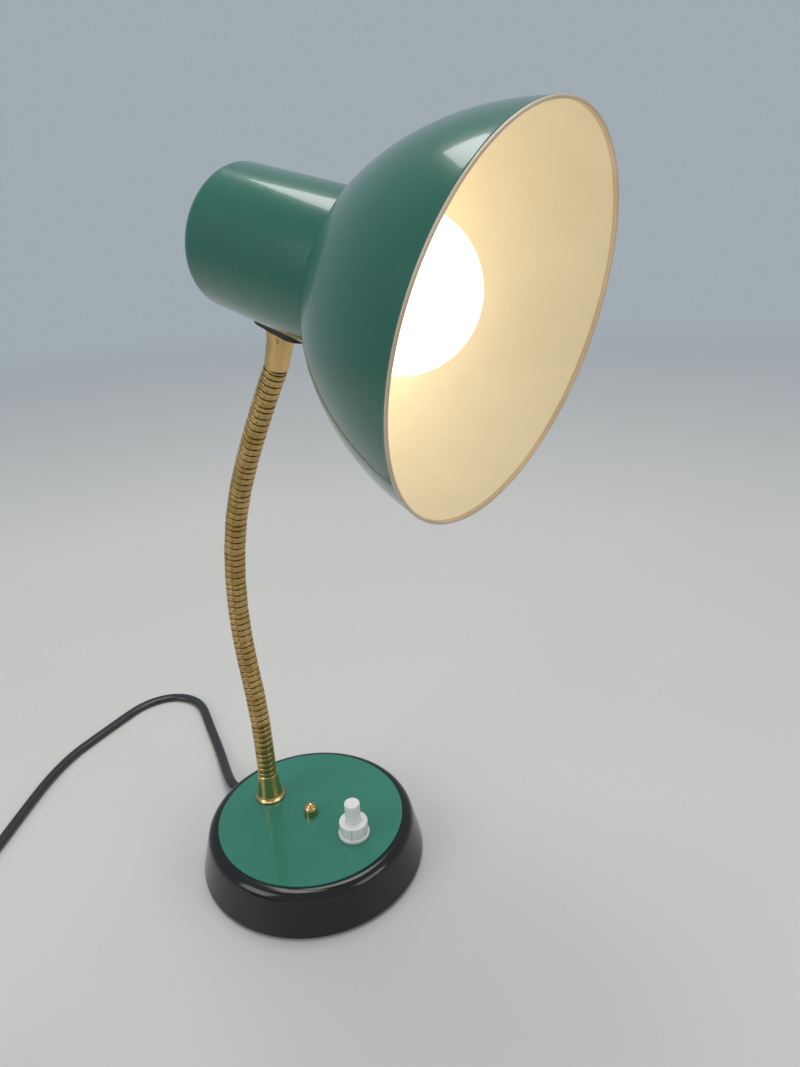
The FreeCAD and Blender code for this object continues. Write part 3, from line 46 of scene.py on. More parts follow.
# ================================================================ mesh helpers
def make_object(name, verts, faces, marks=None, materials=(), sharp=35.0):
    """Mesh object with smooth shading, sharp only at edges above that angle."""
    mesh = bpy.data.meshes.new(name)
    mesh.from_pydata([tuple(v) for v in verts], [], faces)
    mesh.validate()
    mesh.update()
    for material in materials:
        mesh.materials.append(material)
    if marks is not None:
        for polygon, mark in zip(mesh.polygons, marks):
            polygon.material_index = mark
    mesh.shade_smooth()
    mesh.set_sharp_from_angle(angle=math.radians(sharp))
    obj = bpy.data.objects.new(name, mesh)
    bpy.context.scene.collection.objects.link(obj)
    return obj


def lathe(name, profile, place, steps=96, slots=None, materials=(), closed=True, sharp=35.0):
    """Turn (radius, height) points in millimetres about the place's Z axis.

    slots gives the material slot of each run between two points.
    """
    verts = []
    rings = []
    for radius, height in profile:
        if radius < 1e-6:
            rings.append([len(verts)])
            verts.append(place @ Vector((0, 0, height * MM)))
            continue
        ring = []
        for i in range(steps):
            a = 2 * math.pi * i / steps
            ring.append(len(verts))
            out = radius * MM
            verts.append(place @ Vector((out * math.cos(a), out * math.sin(a), height * MM)))
        rings.append(ring)
    faces = []
    marks = []
    runs = len(profile) if closed else len(profile) - 1
    for k in range(runs):
        a = rings[k]
        b = rings[(k + 1) % len(rings)]
        mark = 0 if slots is None else slots[k]
        if len(a) == 1 and len(b) == 1:
            continue
        for i in range(steps):
            j = (i + 1) % steps
            if len(a) == 1:
                face = (a[0], b[j], b[i])
            elif len(b) == 1:
                face = (a[i], a[j], b[0])
            else:
                face = (a[i], a[j], b[j], b[i])
            faces.append(face)
            marks.append(mark)
    return make_object(name, verts, faces, marks, materials, sharp)


def arc(cx, cz, radius, start, end, count):
    """Points on an arc about (cx, cz), angles in degrees from the radial direction."""
    points = []
    for i in range(count + 1):
        a = math.radians(start + (end - start) * i / count)
        points.append((cx + radius * math.cos(a), cz + radius * math.sin(a)))
    return points


# ================================================================ material helpers
GLASS_IOR = 1.5


class Finish:
    """One node material, built around a Principled shader in object coordinates."""

    def __init__(self, name, **values):
        self.material = bpy.data.materials.new(name)
        self.material.use_nodes = True
        self.tree = self.material.node_tree
        self.tree.nodes.clear()
        self.out = self.tree.nodes.new("ShaderNodeOutputMaterial")
        self.shader = self.tree.nodes.new("ShaderNodeBsdfPrincipled")
        self.tree.links.new(self.shader.outputs[0], self.out.inputs["Surface"])
        self.where = self.tree.nodes.new("ShaderNodeTexCoord").outputs["Object"]
        for key, value in values.items():
            self.shader.inputs[key.replace("_", " ")].default_value = value

    def node(self, kind, **inputs):
        made = self.tree.nodes.new(kind)
        for key, value in inputs.items():
            socket = made.inputs[key.replace("_", " ")]
            if isinstance(value, bpy.types.NodeSocket):
                self.tree.links.new(value, socket)
            else:
                socket.default_value = value
        return made

    def stretched(self, x, y, z):
        return self.node("ShaderNodeMapping", Vector=self.where, Scale=(x, y, z)).outputs[0]

    def noise(self, scale, detail=3.0, rough=0.5, where=None):
        made = self.node("ShaderNodeTexNoise", Vector=where or self.where, Scale=scale, Detail=detail,
                         Roughness=rough)
        return made.outputs["Fac"]

    def span(self, value, low, high, to_low, to_high):
        made = self.node("ShaderNodeMapRange", Value=value)
        made.inputs["From Min"].default_value = low
        made.inputs["From Max"].default_value = high
        made.inputs["To Min"].default_value = to_low
        made.inputs["To Max"].default_value = to_high
        return made.outputs[0]

    def blend(self, share, first, second):
        made = self.tree.nodes.new("ShaderNodeMix")
        made.data_type = "RGBA"
        for index, value in ((0, share), (6, first), (7, second)):
            if isinstance(value, bpy.types.NodeSocket):
                self.tree.links.new(value, made.inputs[index])
            elif index == 0:
                made.inputs[index].default_value = value
            else:
                made.inputs[index].default_value = (*value, 1.0)
        return made.outputs[2]

    def math(self, kind, first, second):
        made = self.tree.nodes.new("ShaderNodeMath")
        made.operation = kind
        for index, value in ((0, first), (1, second)):
            if isinstance(value, bpy.types.NodeSocket):
                self.tree.links.new(value, made.inputs[index])
            else:
                made.inputs[index].default_value = value
        return made.outputs[0]

    def feed(self, name, value):
        self.tree.links.new(value, self.shader.inputs[name])
        return self

    def relief(self, height, strength, distance):
        made = self.node("ShaderNodeBump", Height=height, Strength=strength, Distance=distance)
        self.tree.links.new(made.outputs[0], self.shader.inputs["Normal"])
        return self


def enamel(name, colour, darker, paler):
    """Glossy stove enamel: a trace of orange peel, faint clouding and specks of dust."""
    f = Finish(name, Coat_Weight=0.5, Coat_Roughness=0.045, Coat_IOR=GLASS_IOR, IOR=GLASS_IOR)
    cloud = f.blend(f.span(f.noise(11.0, 4.0), 0.35, 0.65, 0.0, 1.0), darker, colour)
    speck = f.span(f.noise(900.0, 2.0), 0.715, 0.76, 0.0, 0.5)
    f.feed("Base Color", f.blend(speck, cloud, paler))
    smear = f.math("MULTIPLY", f.noise(26.0, 5.0, 0.62), 0.16)
    f.feed("Roughness", f.math("ADD", smear, 0.14))
    peel = f.math("ADD", f.noise(210.0, 2.0), f.math("MULTIPLY", f.noise(1500.0, 1.0), 0.06))
    f.relief(peel, 0.05, 0.0006)
    return f.material


def metal(name, colour, darker, rough, patina=0.5, scratch=0.25):
    """Bare metal with a thin tarnish that gathers in clouds, and fine rubbing marks."""
    f = Finish(name, Metallic=1.0)
    tarnish = f.span(f.noise(95.0, 6.0, 0.6), 0.4, 0.68, 0.0, patina)
    f.feed("Base Color", f.blend(tarnish, colour, darker))
    marks = f.noise(260.0, 4.0, 0.7, f.stretched(1.0, 1.0, 9.0))
    level = f.math("ADD", f.math("MULTIPLY", marks, scratch), rough)
    f.feed("Roughness", f.math("ADD", level, f.math("MULTIPLY", tarnish, 0.12)))
    f.relief(marks, 0.06, 0.00008)
    return f.material


def plastic(name, colour, other, rough, coat=0.0, grain=0.05, grain_scale=1400.0, spread=0.12):
    """Moulded plastic, rubber or bakelite with slight clouding and a fine skin."""
    f = Finish(name, Coat_Weight=coat, Coat_Roughness=0.06, IOR=GLASS_IOR)
    f.feed("Base Color", f.blend(f.span(f.noise(34.0, 5.0), 0.35, 0.7, 0.0, 1.0), colour, other))
    f.feed("Roughness", f.math("ADD", f.math("MULTIPLY", f.noise(60.0, 6.0, 0.65), spread), rough))
    skin = f.math("ADD", f.noise(grain_scale, 3.0), f.math("MULTIPLY", f.noise(120.0, 2.0), 0.8))
    f.relief(skin, grain, 0.0003)
    return f.material


green_enamel = enamel("green_enamel", (0.008, 0.118, 0.074), (0.007, 0.100, 0.063), (0.10, 0.20, 0.16))
# the top plate's green is a paler copy of the shade's green enamel: painted light falling on the flat upward
# face
plate_green_painted_toplight = enamel("plate_green_painted_toplight", (0.022, 0.185, 0.125), (0.019, 0.168, 0.112), (0.12, 0.26, 0.21))
bakelite = plastic("black_bakelite", (0.006, 0.006, 0.007), (0.009, 0.008, 0.008), 0.10,
                   coat=0.0, grain=0.03, grain_scale=700.0, spread=0.10)
brass = metal("polished_brass", (0.70, 0.48, 0.20), (0.44, 0.27, 0.09), 0.08, 0.45)
# darker brass of the gooseneck's ribs: partly tarnish and dirt, partly painted dark reflection of the
# surroundings
tarnish_and_reflection_brass = metal("ribs_tarnish_painted_reflection", (0.56, 0.38, 0.15), (0.34, 0.20, 0.06), 0.13, 0.7)
# near-black brass for the groove floors and the ball just under each skirt: painted shade in the gaps of the
# wound strip
painted_shade_brass = metal("painted_shade_brass", (0.09, 0.05, 0.018), (0.04, 0.024, 0.010), 0.42, 1.0)
steel = metal("zinc_steel", (0.60, 0.61, 0.62), (0.40, 0.39, 0.37), 0.26, 0.6)
cap_metal = metal("cap_metal", (0.72, 0.72, 0.70), (0.50, 0.49, 0.46), 0.22, 0.5)
iron = plastic("cast_iron", (0.045, 0.044, 0.043), (0.075, 0.062, 0.052), 0.62, grain=0.5, grain_scale=900.0)
white_plastic = plastic("white_plastic", (0.80, 0.79, 0.75), (0.74, 0.725, 0.68), 0.24, coat=0.2, grain=0.03)
holder_plastic = plastic("holder_plastic", (0.78, 0.76, 0.70), (0.70, 0.67, 0.60), 0.34)
black_plastic = plastic("black_plastic", (0.014, 0.014, 0.015), (0.022, 0.021, 0.020), 0.34)
black_rubber = plastic("black_rubber", (0.016, 0.016, 0.016), (0.028, 0.027, 0.026), 0.52, grain=0.10)
grey_sheath = plastic("grey_sheath", (0.30, 0.30, 0.31), (0.25, 0.25, 0.25), 0.45)
felt = plastic("felt", (0.030, 0.034, 0.030), (0.055, 0.058, 0.052), 0.92, grain=1.0, grain_scale=2600.0)
black_glass = plastic("insulator_glass", (0.010, 0.010, 0.014), (0.016, 0.016, 0.020), 0.08, coat=0.4)
flex_black = plastic("flex_black", (0.012, 0.012, 0.013), (0.020, 0.019, 0.018), 0.22, coat=0.25)
cream = plastic("cream_enamel", (0.80, 0.73, 0.56), (0.76, 0.69, 0.52), 0.30, coat=0.12, grain_scale=600.0)
# the rim bead's cream is a darker, warmer copy of the inside cream: painted shade and painted warm glow from
# the lit bulb
rim_glow_and_shade = plastic("rim_cream_painted_glow_shade", (0.62, 0.50, 0.36), (0.50, 0.36, 0.24), 0.28, coat=0.2, grain_scale=900.0)


def glowing_opal():
    """Opal glass of a lit globe lamp."""
    f = Finish("opal_glass", Roughness=0.22, Emission_Strength=2.1)
    f.feed("Base Color", f.blend(f.noise(40.0, 3.0), (0.86, 0.85, 0.82), (0.80, 0.79, 0.76)))
    f.feed("Emission Color", f.blend(f.noise(18.0, 3.0), (1.0, 0.80, 0.52), (1.0, 0.83, 0.57)))
    f.relief(f.noise(300.0, 2.0), 0.02, 0.0003)
    return f.material


opal = glowing_opal()

# ================================================================ finishes of the carried nodes
finishes = {
    "base_shell": bakelite, "top_plate": plate_green_painted_toplight, "base_weight": iron, "bottom_cover": steel,
    "felt_pad": felt, "tie_screw": steel, "spacer_tube": steel, "acorn_nut": brass, "lower_nipple": brass,
    "lower_nipple_nut": steel, "lower_ferrule": brass, "upper_ferrule": brass, "saddle_gasket": black_rubber,
    "rear_housing": green_enamel, "shade": green_enamel, "lampholder_body": holder_plastic,
    "shade_ring": holder_plastic, "screw_shell": brass, "centre_contact": brass, "holder_bracket": steel,
    "holder_screws": steel, "upper_nipple": brass, "upper_nipple_nut": steel, "bulb_glass": opal,
    "bulb_cap": cap_metal, "bulb_insulator": black_glass, "bulb_contact": steel,
    "bulb_filament_mount": steel, "switch_body": black_plastic, "switch_collar": white_plastic,
    "push_button": white_plastic, "fixed_contacts": brass, "contact_bridge": brass,
    "button_spring": steel,
    "neck_flex": grey_sheath, "head_wires": grey_sheath, "base_wires": grey_sheath,
    "cord_gland": black_rubber,
    "inner_cord": flex_black, "cord_clamp": black_plastic, "clamp_screws": steel, "cord_lead": flex_black,
    "cord_coil": flex_black, "coil_tie": black_rubber, "plug_body": black_plastic, "plug_pins": cap_metal,
}
for node_name, obj in nodes.items():
    material = finishes.get(node_name, tarnish_and_reflection_brass)
    obj.data.materials.clear()
    obj.data.materials.append(material)

# ================================================================ camera, as the photograph was taken
CAMERA_PLACE = Vector((-0.24095, -0.25505, 0.34113))
CAMERA_RIGHT = Vector((0.59237, -0.80458, -0.04188))
CAMERA_UP = Vector((0.34241, 0.20437, 0.91705))
CAMERA_BACK = Vector((-0.72928, -0.55758, 0.39656))
FILM_WIDTH = 36.0
FOCAL_LENGTH = 26.99

camera_data = bpy.data.cameras.new("camera")
camera = bpy.data.objects.new("camera", camera_data)
bpy.context.scene.collection.objects.link(camera)
turned = Matrix((CAMERA_RIGHT, CAMERA_UP, CAMERA_BACK)).transposed().to_4x4()
camera.matrix_world = Matrix.Translation(CAMERA_PLACE) @ turned
camera_data.sensor_width = FILM_WIDTH
camera_data.lens = FOCAL_LENGTH
camera_data.clip_start = 0.01
camera_data.clip_end = 50.0
bpy.context.scene.camera = camera

# ================================================================ mains cord: two-core flex, coil and plug
CORD_WIDTH = 6.2
CORD_THICK = 3.9
CORE_WAIST = 0.42
CORE_STEPS = 10
# the route's points from the base to the coil, in metres; the flex lies flat on the table
route = [
    (0.0043, 0.0636, 0.0073), (0.0043, 0.0674, 0.0073), (0.0064, 0.0749, 0.0068), (0.0121, 0.0850, 0.0052),
    (0.0208, 0.0989, 0.0034), (0.0306, 0.1153, 0.0022), (0.0396, 0.1316, 0.00195),
    (0.0476, 0.1456, 0.00195), (0.0543, 0.1576, 0.00195), (0.0569, 0.1699, 0.00195),
    (0.0530, 0.1831, 0.00195), (0.0430, 0.1923, 0.00195),
    (0.0286, 0.1966, 0.00195), (0.0099, 0.1946, 0.00195), (-0.0101, 0.1923, 0.00195),
    (-0.0310, 0.1896, 0.00195), (-0.0542, 0.1808, 0.00195), (-0.0798, 0.1664, 0.00195),
    (-0.1058, 0.1513, 0.00195), (-0.1340, 0.1368, 0.00195), (-0.1640, 0.1199, 0.0024),
    (-0.1940, 0.0995, 0.0031), (-0.2369, 0.0677, 0.0038),
]
lead_count = len(route)
COIL_X = -0.236
COIL_Y = 0.018
COIL_START = 128.0
COIL_OUTER = 36.9
COIL_PITCH = 7.0
COIL_LAYER = 7.0
COIL_LOWEST = 3.8
COIL_LAYERS = 4
LAYER_TURNS = 1.5
TAIL_TURN = 0.375
TAIL_OUTSET = 7.4
TAIL_OUT_PACE = 1.8
TAIL_DROP_FROM = 0.2
TAIL_POINTS = 6
CLIMB = 0.5
PLUG_HEIGHT = 6.9
PLUG_POINT = Vector((-0.22764, -0.02855, 0.0069))
PLUG_HEADING = Vector((0.983, -0.184, 0.0)).normalized()
PLUG_APPROACH = 0.007
PLUG_ENTRY = 0.001
PER_TURN = 16
# a quadratic spline runs inside its control points, so these stand a little outside the coil
BULGE = 1.0 / (0.75 + 0.25 * math.cos(2 * math.pi / PER_TURN))
coil_turns = LAYER_TURNS * COIL_LAYERS


def ease(u):
    u = min(1.0, max(0.0, u))
    return u * u * (3 - 2 * u)


def coil_radius(turns):
    """Radius of the flex's middle in millimetres: in, out, in, out."""
    leg = min(int(turns / LAYER_TURNS + 1e-9), COIL_LAYERS - 1)
    part = turns - leg * LAYER_TURNS
    if leg % 2 == 0:
        return COIL_OUTER - COIL_PITCH * part
    return COIL_OUTER - COIL_PITCH * (LAYER_TURNS - part)


def coil_height(turns):
    """Height of the flex's middle in millimetres: it climbs on the half turn round a reversal."""
    z = COIL_LOWEST
    for k in range(1, COIL_LAYERS):
        z += COIL_LAYER * ease((turns - (k * LAYER_TURNS - CLIMB / 2)) / CLIMB)
    return z


def round_coil(turns, radius, height):
    a = math.radians(COIL_START) + 2 * math.pi * turns
    across = radius * BULGE * MM
    return (COIL_X + across * math.cos(a), COIL_Y + across * math.sin(a), height * MM)


for i in range(int(coil_turns * PER_TURN) + 1):
    t = i / PER_TURN
    route.append(round_coil(t, coil_radius(t), coil_height(t)))
top = coil_height(coil_turns)
for i in range(1, TAIL_POINTS + 1):
    u = i / TAIL_POINTS
    t = coil_turns + TAIL_TURN * u
    out = TAIL_OUTSET * ease(u * TAIL_OUT_PACE)
    drop = ease((u - TAIL_DROP_FROM) / (1 - TAIL_DROP_FROM))
    route.append(round_coil(t, coil_radius(coil_turns) + out, top + (PLUG_HEIGHT - top) * drop))
route.append(tuple(PLUG_POINT - PLUG_HEADING * PLUG_APPROACH))
route.append(tuple(PLUG_POINT + PLUG_HEADING * PLUG_ENTRY))


def smooth_line(points):
    """Points read from one open quadratic NURBS spline through the route."""
    data = bpy.data.curves.new("route", "CURVE")
    data.dimensions = "3D"
    data.resolution_u = 8
    spline = data.splines.new("NURBS")
    spline.points.add(len(points) - 1)
    for control, point in zip(spline.points, points):
        control.co = (*point, 1.0)
    spline.order_u = 3
    spline.use_endpoint_u = True
    holder = bpy.data.objects.new("route", data)
    mesh = bpy.data.meshes.new_from_object(holder)
    line = [v.co.copy() for v in mesh.vertices]
    bpy.data.objects.remove(holder)
    bpy.data.curves.remove(data)
    bpy.data.meshes.remove(mesh)
    return line


def flex_section():
    """Outline of a flat two-core flex in millimetres: two round cores side by side in one sheath."""
    core = CORD_THICK / 2
    offset = CORD_WIDTH / 2 - core
    meet = math.acos(min(1.0, (offset - CORE_WAIST) / core))
    points = []
    for side in (1, -1):
        for i in range(CORE_STEPS + 1):
            a = -(math.pi - meet) + 2 * (math.pi - meet) * i / CORE_STEPS
            points.append((side * (offset + core * math.cos(a)), side * core * math.sin(a)))
    return points


def sweep(name, line, section, roll, materials):
    """Run a section along a line; roll gives the turn of its wide side at each share of the length."""
    lengths = [0.0]
    for a, b in zip(line[:-1], line[1:]):
        lengths.append(lengths[-1] + (b - a).length)
    verts = []
    count = len(section)
    for i, p in enumerate(line):
        ahead = line[min(i + 1, len(line) - 1)] - line[max(i - 1, 0)]
        ahead.normalize()
        side = ahead.cross(Vector((0, 0, 1))).normalized()
        over = side.cross(ahead).normalized()
        w = roll(lengths[i])
        wide = side * math.cos(w) + over * math.sin(w)
        thin = over * math.cos(w) - side * math.sin(w)
        for x, y in section:
            verts.append(p + wide * (x * MM) + thin * (y * MM))
    faces = []
    for i in range(len(line) - 1):
        for j in range(count):
            k = (j + 1) % count
            faces.append((i * count + j, i * count + k, (i + 1) * count + k, (i + 1) * count + j))
    faces.append(tuple(range(count - 1, -1, -1)))
    last = (len(line) - 1) * count
    faces.append(tuple(last + j for j in range(count)))
    return make_object(name, verts, faces, None, materials, 60.0)


LONGEST_LEAD = 0.7
COIL_ROLL = 0.10
PLUG_ROLL = 0.05
PLUG_ROLL_FROM = 0.06

cord_line = smooth_line(route)
lead_end = Vector(route[lead_count - 1])
travelled = 0.0
to_coil = 0.0
nearest = 1.0
for a, b in zip(cord_line[:-1], cord_line[1:]):
    travelled += (b - a).length
    if (b - lead_end).length < nearest and travelled < LONGEST_LEAD:
        nearest = (b - lead_end).length
        to_coil = travelled


def flex_roll(distance):
    """Flat on the table, and on edge in the coil, as a flat flex winds."""
    on_edge = ease((distance - (to_coil - COIL_ROLL)) / COIL_ROLL)
    at_plug = ease((distance - (travelled - PLUG_ROLL_FROM)) / PLUG_ROLL)
    return math.pi / 2 * (on_edge - at_plug)


flex = sweep("mains_flex", cord_line, flex_section(), flex_roll, [flex_black])
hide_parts("cord_lead", "cord_coil")
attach(flex, "base")

# ================================================================ gooseneck
SEGMENT = 17.33
RINGS = 5
RING_R = 5.2
GROOVE_R = 4.78
GROOVE_W = 0.5
GROOVE_TAPER = 0.02
JOINT_GAP = 1.4
SKIRT = 0.35
BORE = 3.0
BALL = 4.98
BALL_FOOT = 0.05
BALL_TOP = 2.6
SHADOW = 0.5
LOW_EDGE = 0.16
TOP_EDGE = 0.34
CROWN = 0.02
CROWN_AT = 0.45
EDGE_STEPS = 4
SOCKET_PLAY = 0.05
SOCKET_DEPTH = 4.0
SOCKET_ROOF = 4.2
NECK_FOOT = (-1.99965, 29.332, 41.7)
# forward lean of each segment from upright, in degrees
leans = (0.0, -1.0, -4.6, -7.2, -5.5, -0.9, 3.6, 8.6, 13.8, 19.4, 24.6, 27.6, 28.9, 30.7)
pitch = SEGMENT / RINGS


def ring_profile(low, high):
    """Rounded band of the wound strip: (radius, height, slot) points."""
    points = []
    for i in range(EDGE_STEPS):
        a = math.radians(90 * i / (EDGE_STEPS - 1))
        out = RING_R - LOW_EDGE + LOW_EDGE * math.sin(a)
        points.append((out, low + LOW_EDGE - LOW_EDGE * math.cos(a), 0))
    points.append((RING_R + CROWN, low + (high - low) * CROWN_AT, 0))
    for i in range(EDGE_STEPS + 1):
        a = math.radians(90 * i / EDGE_STEPS)
        out = RING_R - TOP_EDGE + TOP_EDGE * math.cos(a)
        points.append((out, high - TOP_EDGE + TOP_EDGE * math.sin(a), 0))
    return points


def segment_profile(first):
    """Outline of one segment: five bands, the ball on top and, above the first segment, a socket below."""
    points = []
    for k in range(RINGS):
        low = k * pitch - SKIRT
        if first and k == 0:
            low = 0.0
        high = (k + 1) * pitch - SKIRT - GROOVE_W
        if k == RINGS - 1:
            high = SEGMENT - JOINT_GAP - SKIRT
        if k > 0:
            # groove floors take slot 1, the dark brass of painted shade
            points.append((GROOVE_R, low + GROOVE_TAPER, 1))
        points += ring_profile(low, high)
        points.append((GROOVE_R, high - GROOVE_TAPER, 1))
    shoulder = SEGMENT - JOINT_GAP - SKIRT
    start = math.degrees(math.asin((shoulder - SEGMENT + BALL_FOOT) / BALL))
    dark = math.degrees(math.asin((-SKIRT - SHADOW) / BALL))
    end = math.degrees(math.asin(BALL_TOP / BALL))
    # the ball below the next segment's skirt, SHADOW deep, takes slot 1, the dark brass of painted shade
    points += [(r, z, 0) for r, z in arc(0.0, SEGMENT, BALL, start, dark, 4)]
    points += [(r, z, 1) for r, z in arc(0.0, SEGMENT, BALL, dark, end, 8)[1:]]
    points.append((BORE, SEGMENT + BALL_TOP, 1))
    if first:
        points.append((BORE, 0.0, 1))
        return points
    points.append((BORE, SOCKET_ROOF, 1))
    socket = BALL + SOCKET_PLAY
    roof = math.degrees(math.asin(SOCKET_DEPTH / socket))
    mouth = math.degrees(math.asin(-SKIRT / socket))
    points += [(r, z, 1) for r, z in arc(0.0, 0.0, socket, roof, mouth, 8)]
    return points


joint = Vector(NECK_FOOT) * MM
for i, lean in enumerate(leans):
    place = Matrix.Translation(joint) @ Matrix.Rotation(math.radians(lean), 4, "X")
    outline = segment_profile(i == 0)
    piece = lathe("neck_ribs_%02d" % (i + 1), [(r, z) for r, z, s in outline], place, 56,
                  [s for r, z, s in outline], [tarnish_and_reflection_brass, painted_shade_brass], True, 50.0)
    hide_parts("neck_segment_%02d" % (i + 1))
    body = "base" if i == 0 else ("head" if i == len(leans) - 1 else "neck_%02d" % (i + 1))
    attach(piece, body)
    along = Vector((0, -math.sin(math.radians(lean)), math.cos(math.radians(lean))))
    joint = joint + along * (SEGMENT * MM)

# ================================================================ head: shade, green outside and cream inside
RIM_CENTRE = (-1.99965, -124.37471, 295.67044)
HEAD_TURN = -76.64
head_place = Matrix.Translation(Vector(RIM_CENTRE) * MM) @ Matrix.Rotation(math.radians(HEAD_TURN), 4, "X")
RIM_R = 69.7
WALL = 0.8
DOME_R = 104.0
DOME_STATION = -13.5
DOME_END = 52.0
SHOULDER_R = 29.95
SHOULDER_STATION = 65.7
FILLET = 1.6
BEAD = 0.6
DOME_STEPS = 44
SHOULDER_STEPS = 18
FILLET_STEPS = 6
BEAD_STEPS = 18
BEAD_FROM = 52.0
BEAD_TO = -232.0
HOUSING_FRONT = 67.8
HOUSING_FRONT_R = 30.1
HOUSING_REAR = 133.0
HOUSING_REAR_R = 28.3
HOUSING_SLOPE = (HOUSING_FRONT_R - HOUSING_REAR_R) / (HOUSING_REAR - HOUSING_FRONT)
FLANGE = 91.3
HOLE_R = 20.3
# the dome's arc ends at an angle where the tighter shoulder arc takes over without a corner
dome_axis = RIM_R - math.sqrt(DOME_R ** 2 - DOME_STATION ** 2)
dome_angle = math.asin((DOME_END - DOME_STATION) / DOME_R)
dome_end_r = dome_axis + DOME_R * math.cos(dome_angle)
fall = dome_end_r - SHOULDER_R
run = SHOULDER_STATION - DOME_END
swing = 2 * (math.atan2(fall, run) - dome_angle)
shoulder_radius = math.hypot(fall, run) / 2 / math.sin(swing / 2)
shoulder_axis = dome_end_r - shoulder_radius * math.cos(dome_angle)
shoulder_station = DOME_END - shoulder_radius * math.sin(dome_angle)
shoulder_angle = dome_angle + swing
neck_angle = math.atan(HOUSING_SLOPE)


def shade_face(inset):
    """Points of the outer (inset 0) or inner face of the spun shade from the rim to the neck."""
    start = math.asin(-DOME_STATION / (DOME_R - inset))
    points = arc(dome_axis, DOME_STATION, DOME_R - inset, math.degrees(start), math.degrees(dome_angle),
                 DOME_STEPS)
    points += arc(shoulder_axis, shoulder_station, shoulder_radius - inset, math.degrees(dome_angle),
                  math.degrees(shoulder_angle), SHOULDER_STEPS)[1:]
    end_r, end_s = points[-1]
    fr = FILLET + inset
    cx = end_r + fr * math.cos(shoulder_angle)
    cz = end_s + fr * math.sin(shoulder_angle)
    points += arc(cx, cz, fr, 180 + math.degrees(shoulder_angle), 180 + math.degrees(neck_angle),
                  FILLET_STEPS)[1:]
    return points


outside = shade_face(0.0)
inside = shade_face(WALL)
neck_out = (outside[-1][0] - HOUSING_SLOPE * (FLANGE + WALL - outside[-1][1]), FLANGE + WALL)
neck_in = (inside[-1][0] - HOUSING_SLOPE * (FLANGE - inside[-1][1]), FLANGE)
bead_axis = RIM_R - WALL / 2
bead = arc(bead_axis, 0.0, BEAD, BEAD_FROM, BEAD_TO, BEAD_STEPS)
loop = []
marks = []
for point in reversed(outside[1:]):
    loop.append(point)
    marks.append(0)
# the bead takes slot 2, the darker warm cream of painted shade and glow
for point in bead:
    loop.append(point)
    marks.append(2)
for point in inside[1:]:
    loop.append(point)
    marks.append(1)
loop += [neck_in, (HOLE_R, FLANGE), (HOLE_R, FLANGE + WALL), neck_out]
marks += [1, 1, 0, 0]
shade = lathe("dome_shade", loop, head_place, 192, marks, [green_enamel, cream, rim_glow_and_shade], True, 40.0)
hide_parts("shade")
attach(shade, "head")

# ================================================================ stage: pale floor fading into a pale wall
FLOOR_TONE = (0.56, 0.55, 0.53)
WALL_TONE = (0.36, 0.41, 0.45)
FLOOR_LEVEL = -0.0002
FLOOR_RADII = (0.4, 1.0, 2.2, 8.0)
FLOOR_SIDES = 48
FADE_FROM = 0.55
FADE_TO = 1.9


def stage_floor():
    f = Finish("stage_floor", Roughness=0.55)
    cloud = f.span(f.noise(3.0, 4.0), 0.3, 0.7, 0.0, 1.0)
    tone = f.blend(cloud, FLOOR_TONE, tuple(c * 0.97 for c in FLOOR_TONE))
    f.feed("Base Color", tone)
    f.relief(f.noise(900.0, 3.0), 0.04, 0.0002)
    length = f.tree.nodes.new("ShaderNodeVectorMath")
    length.operation = "LENGTH"
    f.tree.links.new(f.where, length.inputs[0])
    far = f.span(length.outputs["Value"], FADE_FROM, FADE_TO, 0.0, 1.0)
    glow = f.node("ShaderNodeEmission", Color=(*WALL_TONE, 1.0), Strength=1.0)
    mix = f.tree.nodes.new("ShaderNodeMixShader")
    f.tree.links.new(far, mix.inputs[0])
    f.tree.links.new(f.shader.outputs[0], mix.inputs[1])
    f.tree.links.new(glow.outputs[0], mix.inputs[2])
    f.tree.links.new(mix.outputs[0], f.out.inputs["Surface"])
    return f.material


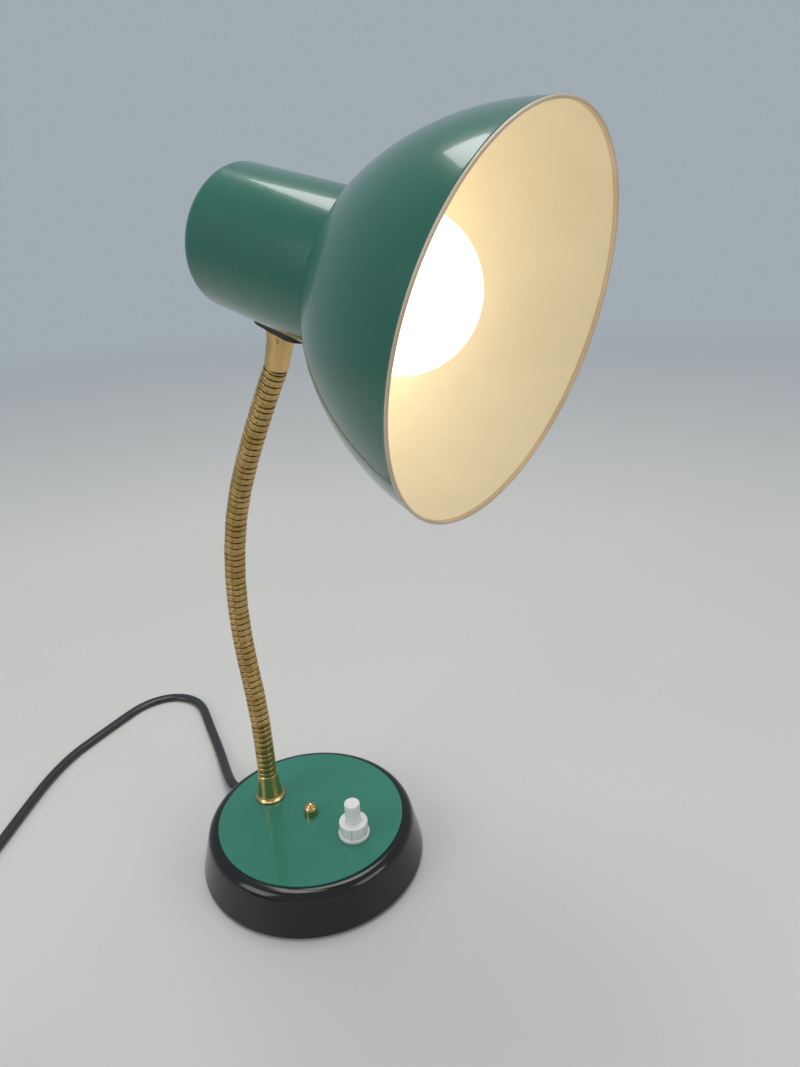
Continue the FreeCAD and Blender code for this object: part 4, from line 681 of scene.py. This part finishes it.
floor_verts = [(0.0, 0.0, FLOOR_LEVEL)]
for radius in FLOOR_RADII:
    for i in range(FLOOR_SIDES):
        a = 2 * math.pi * i / FLOOR_SIDES
        floor_verts.append((radius * math.cos(a), radius * math.sin(a), FLOOR_LEVEL))
floor_faces = [(0, 1 + i, 1 + (i + 1) % FLOOR_SIDES) for i in range(FLOOR_SIDES)]
for ring in range(len(FLOOR_RADII) - 1):
    for i in range(FLOOR_SIDES):
        j = (i + 1) % FLOOR_SIDES
        low = 1 + ring * FLOOR_SIDES
        high = low + FLOOR_SIDES
        floor_faces.append((low + i, high + i, high + j, low + j))
floor = make_object("stage_floor", floor_verts, floor_faces, None, [stage_floor()])

world = bpy.data.worlds.new("studio")
bpy.context.scene.world = world
world.use_nodes = True
tree = world.node_tree
tree.nodes.clear()
world_out = tree.nodes.new("ShaderNodeOutputWorld")
light_back = tree.nodes.new("ShaderNodeBackground")
light_back.inputs["Color"].default_value = (0.86, 0.93, 1.0, 1.0)
light_back.inputs["Strength"].default_value = 0.42
seen_back = tree.nodes.new("ShaderNodeBackground")
seen_back.inputs["Color"].default_value = (*WALL_TONE, 1.0)
seen_back.inputs["Strength"].default_value = 1.0
path = tree.nodes.new("ShaderNodeLightPath")
world_mix = tree.nodes.new("ShaderNodeMixShader")
either = tree.nodes.new("ShaderNodeMath")
either.operation = "MAXIMUM"
tree.links.new(path.outputs["Is Camera Ray"], either.inputs[0])
tree.links.new(path.outputs["Is Glossy Ray"], either.inputs[1])
tree.links.new(either.outputs[0], world_mix.inputs[0])
tree.links.new(light_back.outputs[0], world_mix.inputs[1])
tree.links.new(seen_back.outputs[0], world_mix.inputs[2])
tree.links.new(world_mix.outputs[0], world_out.inputs[0])


def soft_light(name, location, target, width, height, power, colour):
    """Rectangular area light at one point, aimed at another."""
    data = bpy.data.lights.new(name, "AREA")
    data.shape = "RECTANGLE"
    data.size = width
    data.size_y = height
    data.energy = power
    data.color = colour
    obj = bpy.data.objects.new(name, data)
    bpy.context.scene.collection.objects.link(obj)
    aim = Vector(target) - Vector(location)
    turn = aim.to_track_quat("-Z", "Y").to_matrix().to_4x4()
    obj.matrix_world = Matrix.Translation(Vector(location)) @ turn


soft_light("ceiling", (0.25, 0.15, 1.7), (0.0, 0.0, 0.1), 1.1, 1.1, 17.0, (1.0, 0.985, 0.95))
soft_light("window", (-1.5, 0.5, 1.0), (0.0, 0.0, 0.15), 0.9, 1.1, 9.0, (0.93, 0.97, 1.0))
soft_light("front", (0.3, -1.7, 0.9), (0.0, 0.0, 0.15), 1.0, 0.8, 6.0, (1.0, 1.0, 1.0))

bpy.context.scene.view_settings.view_transform = "Standard"
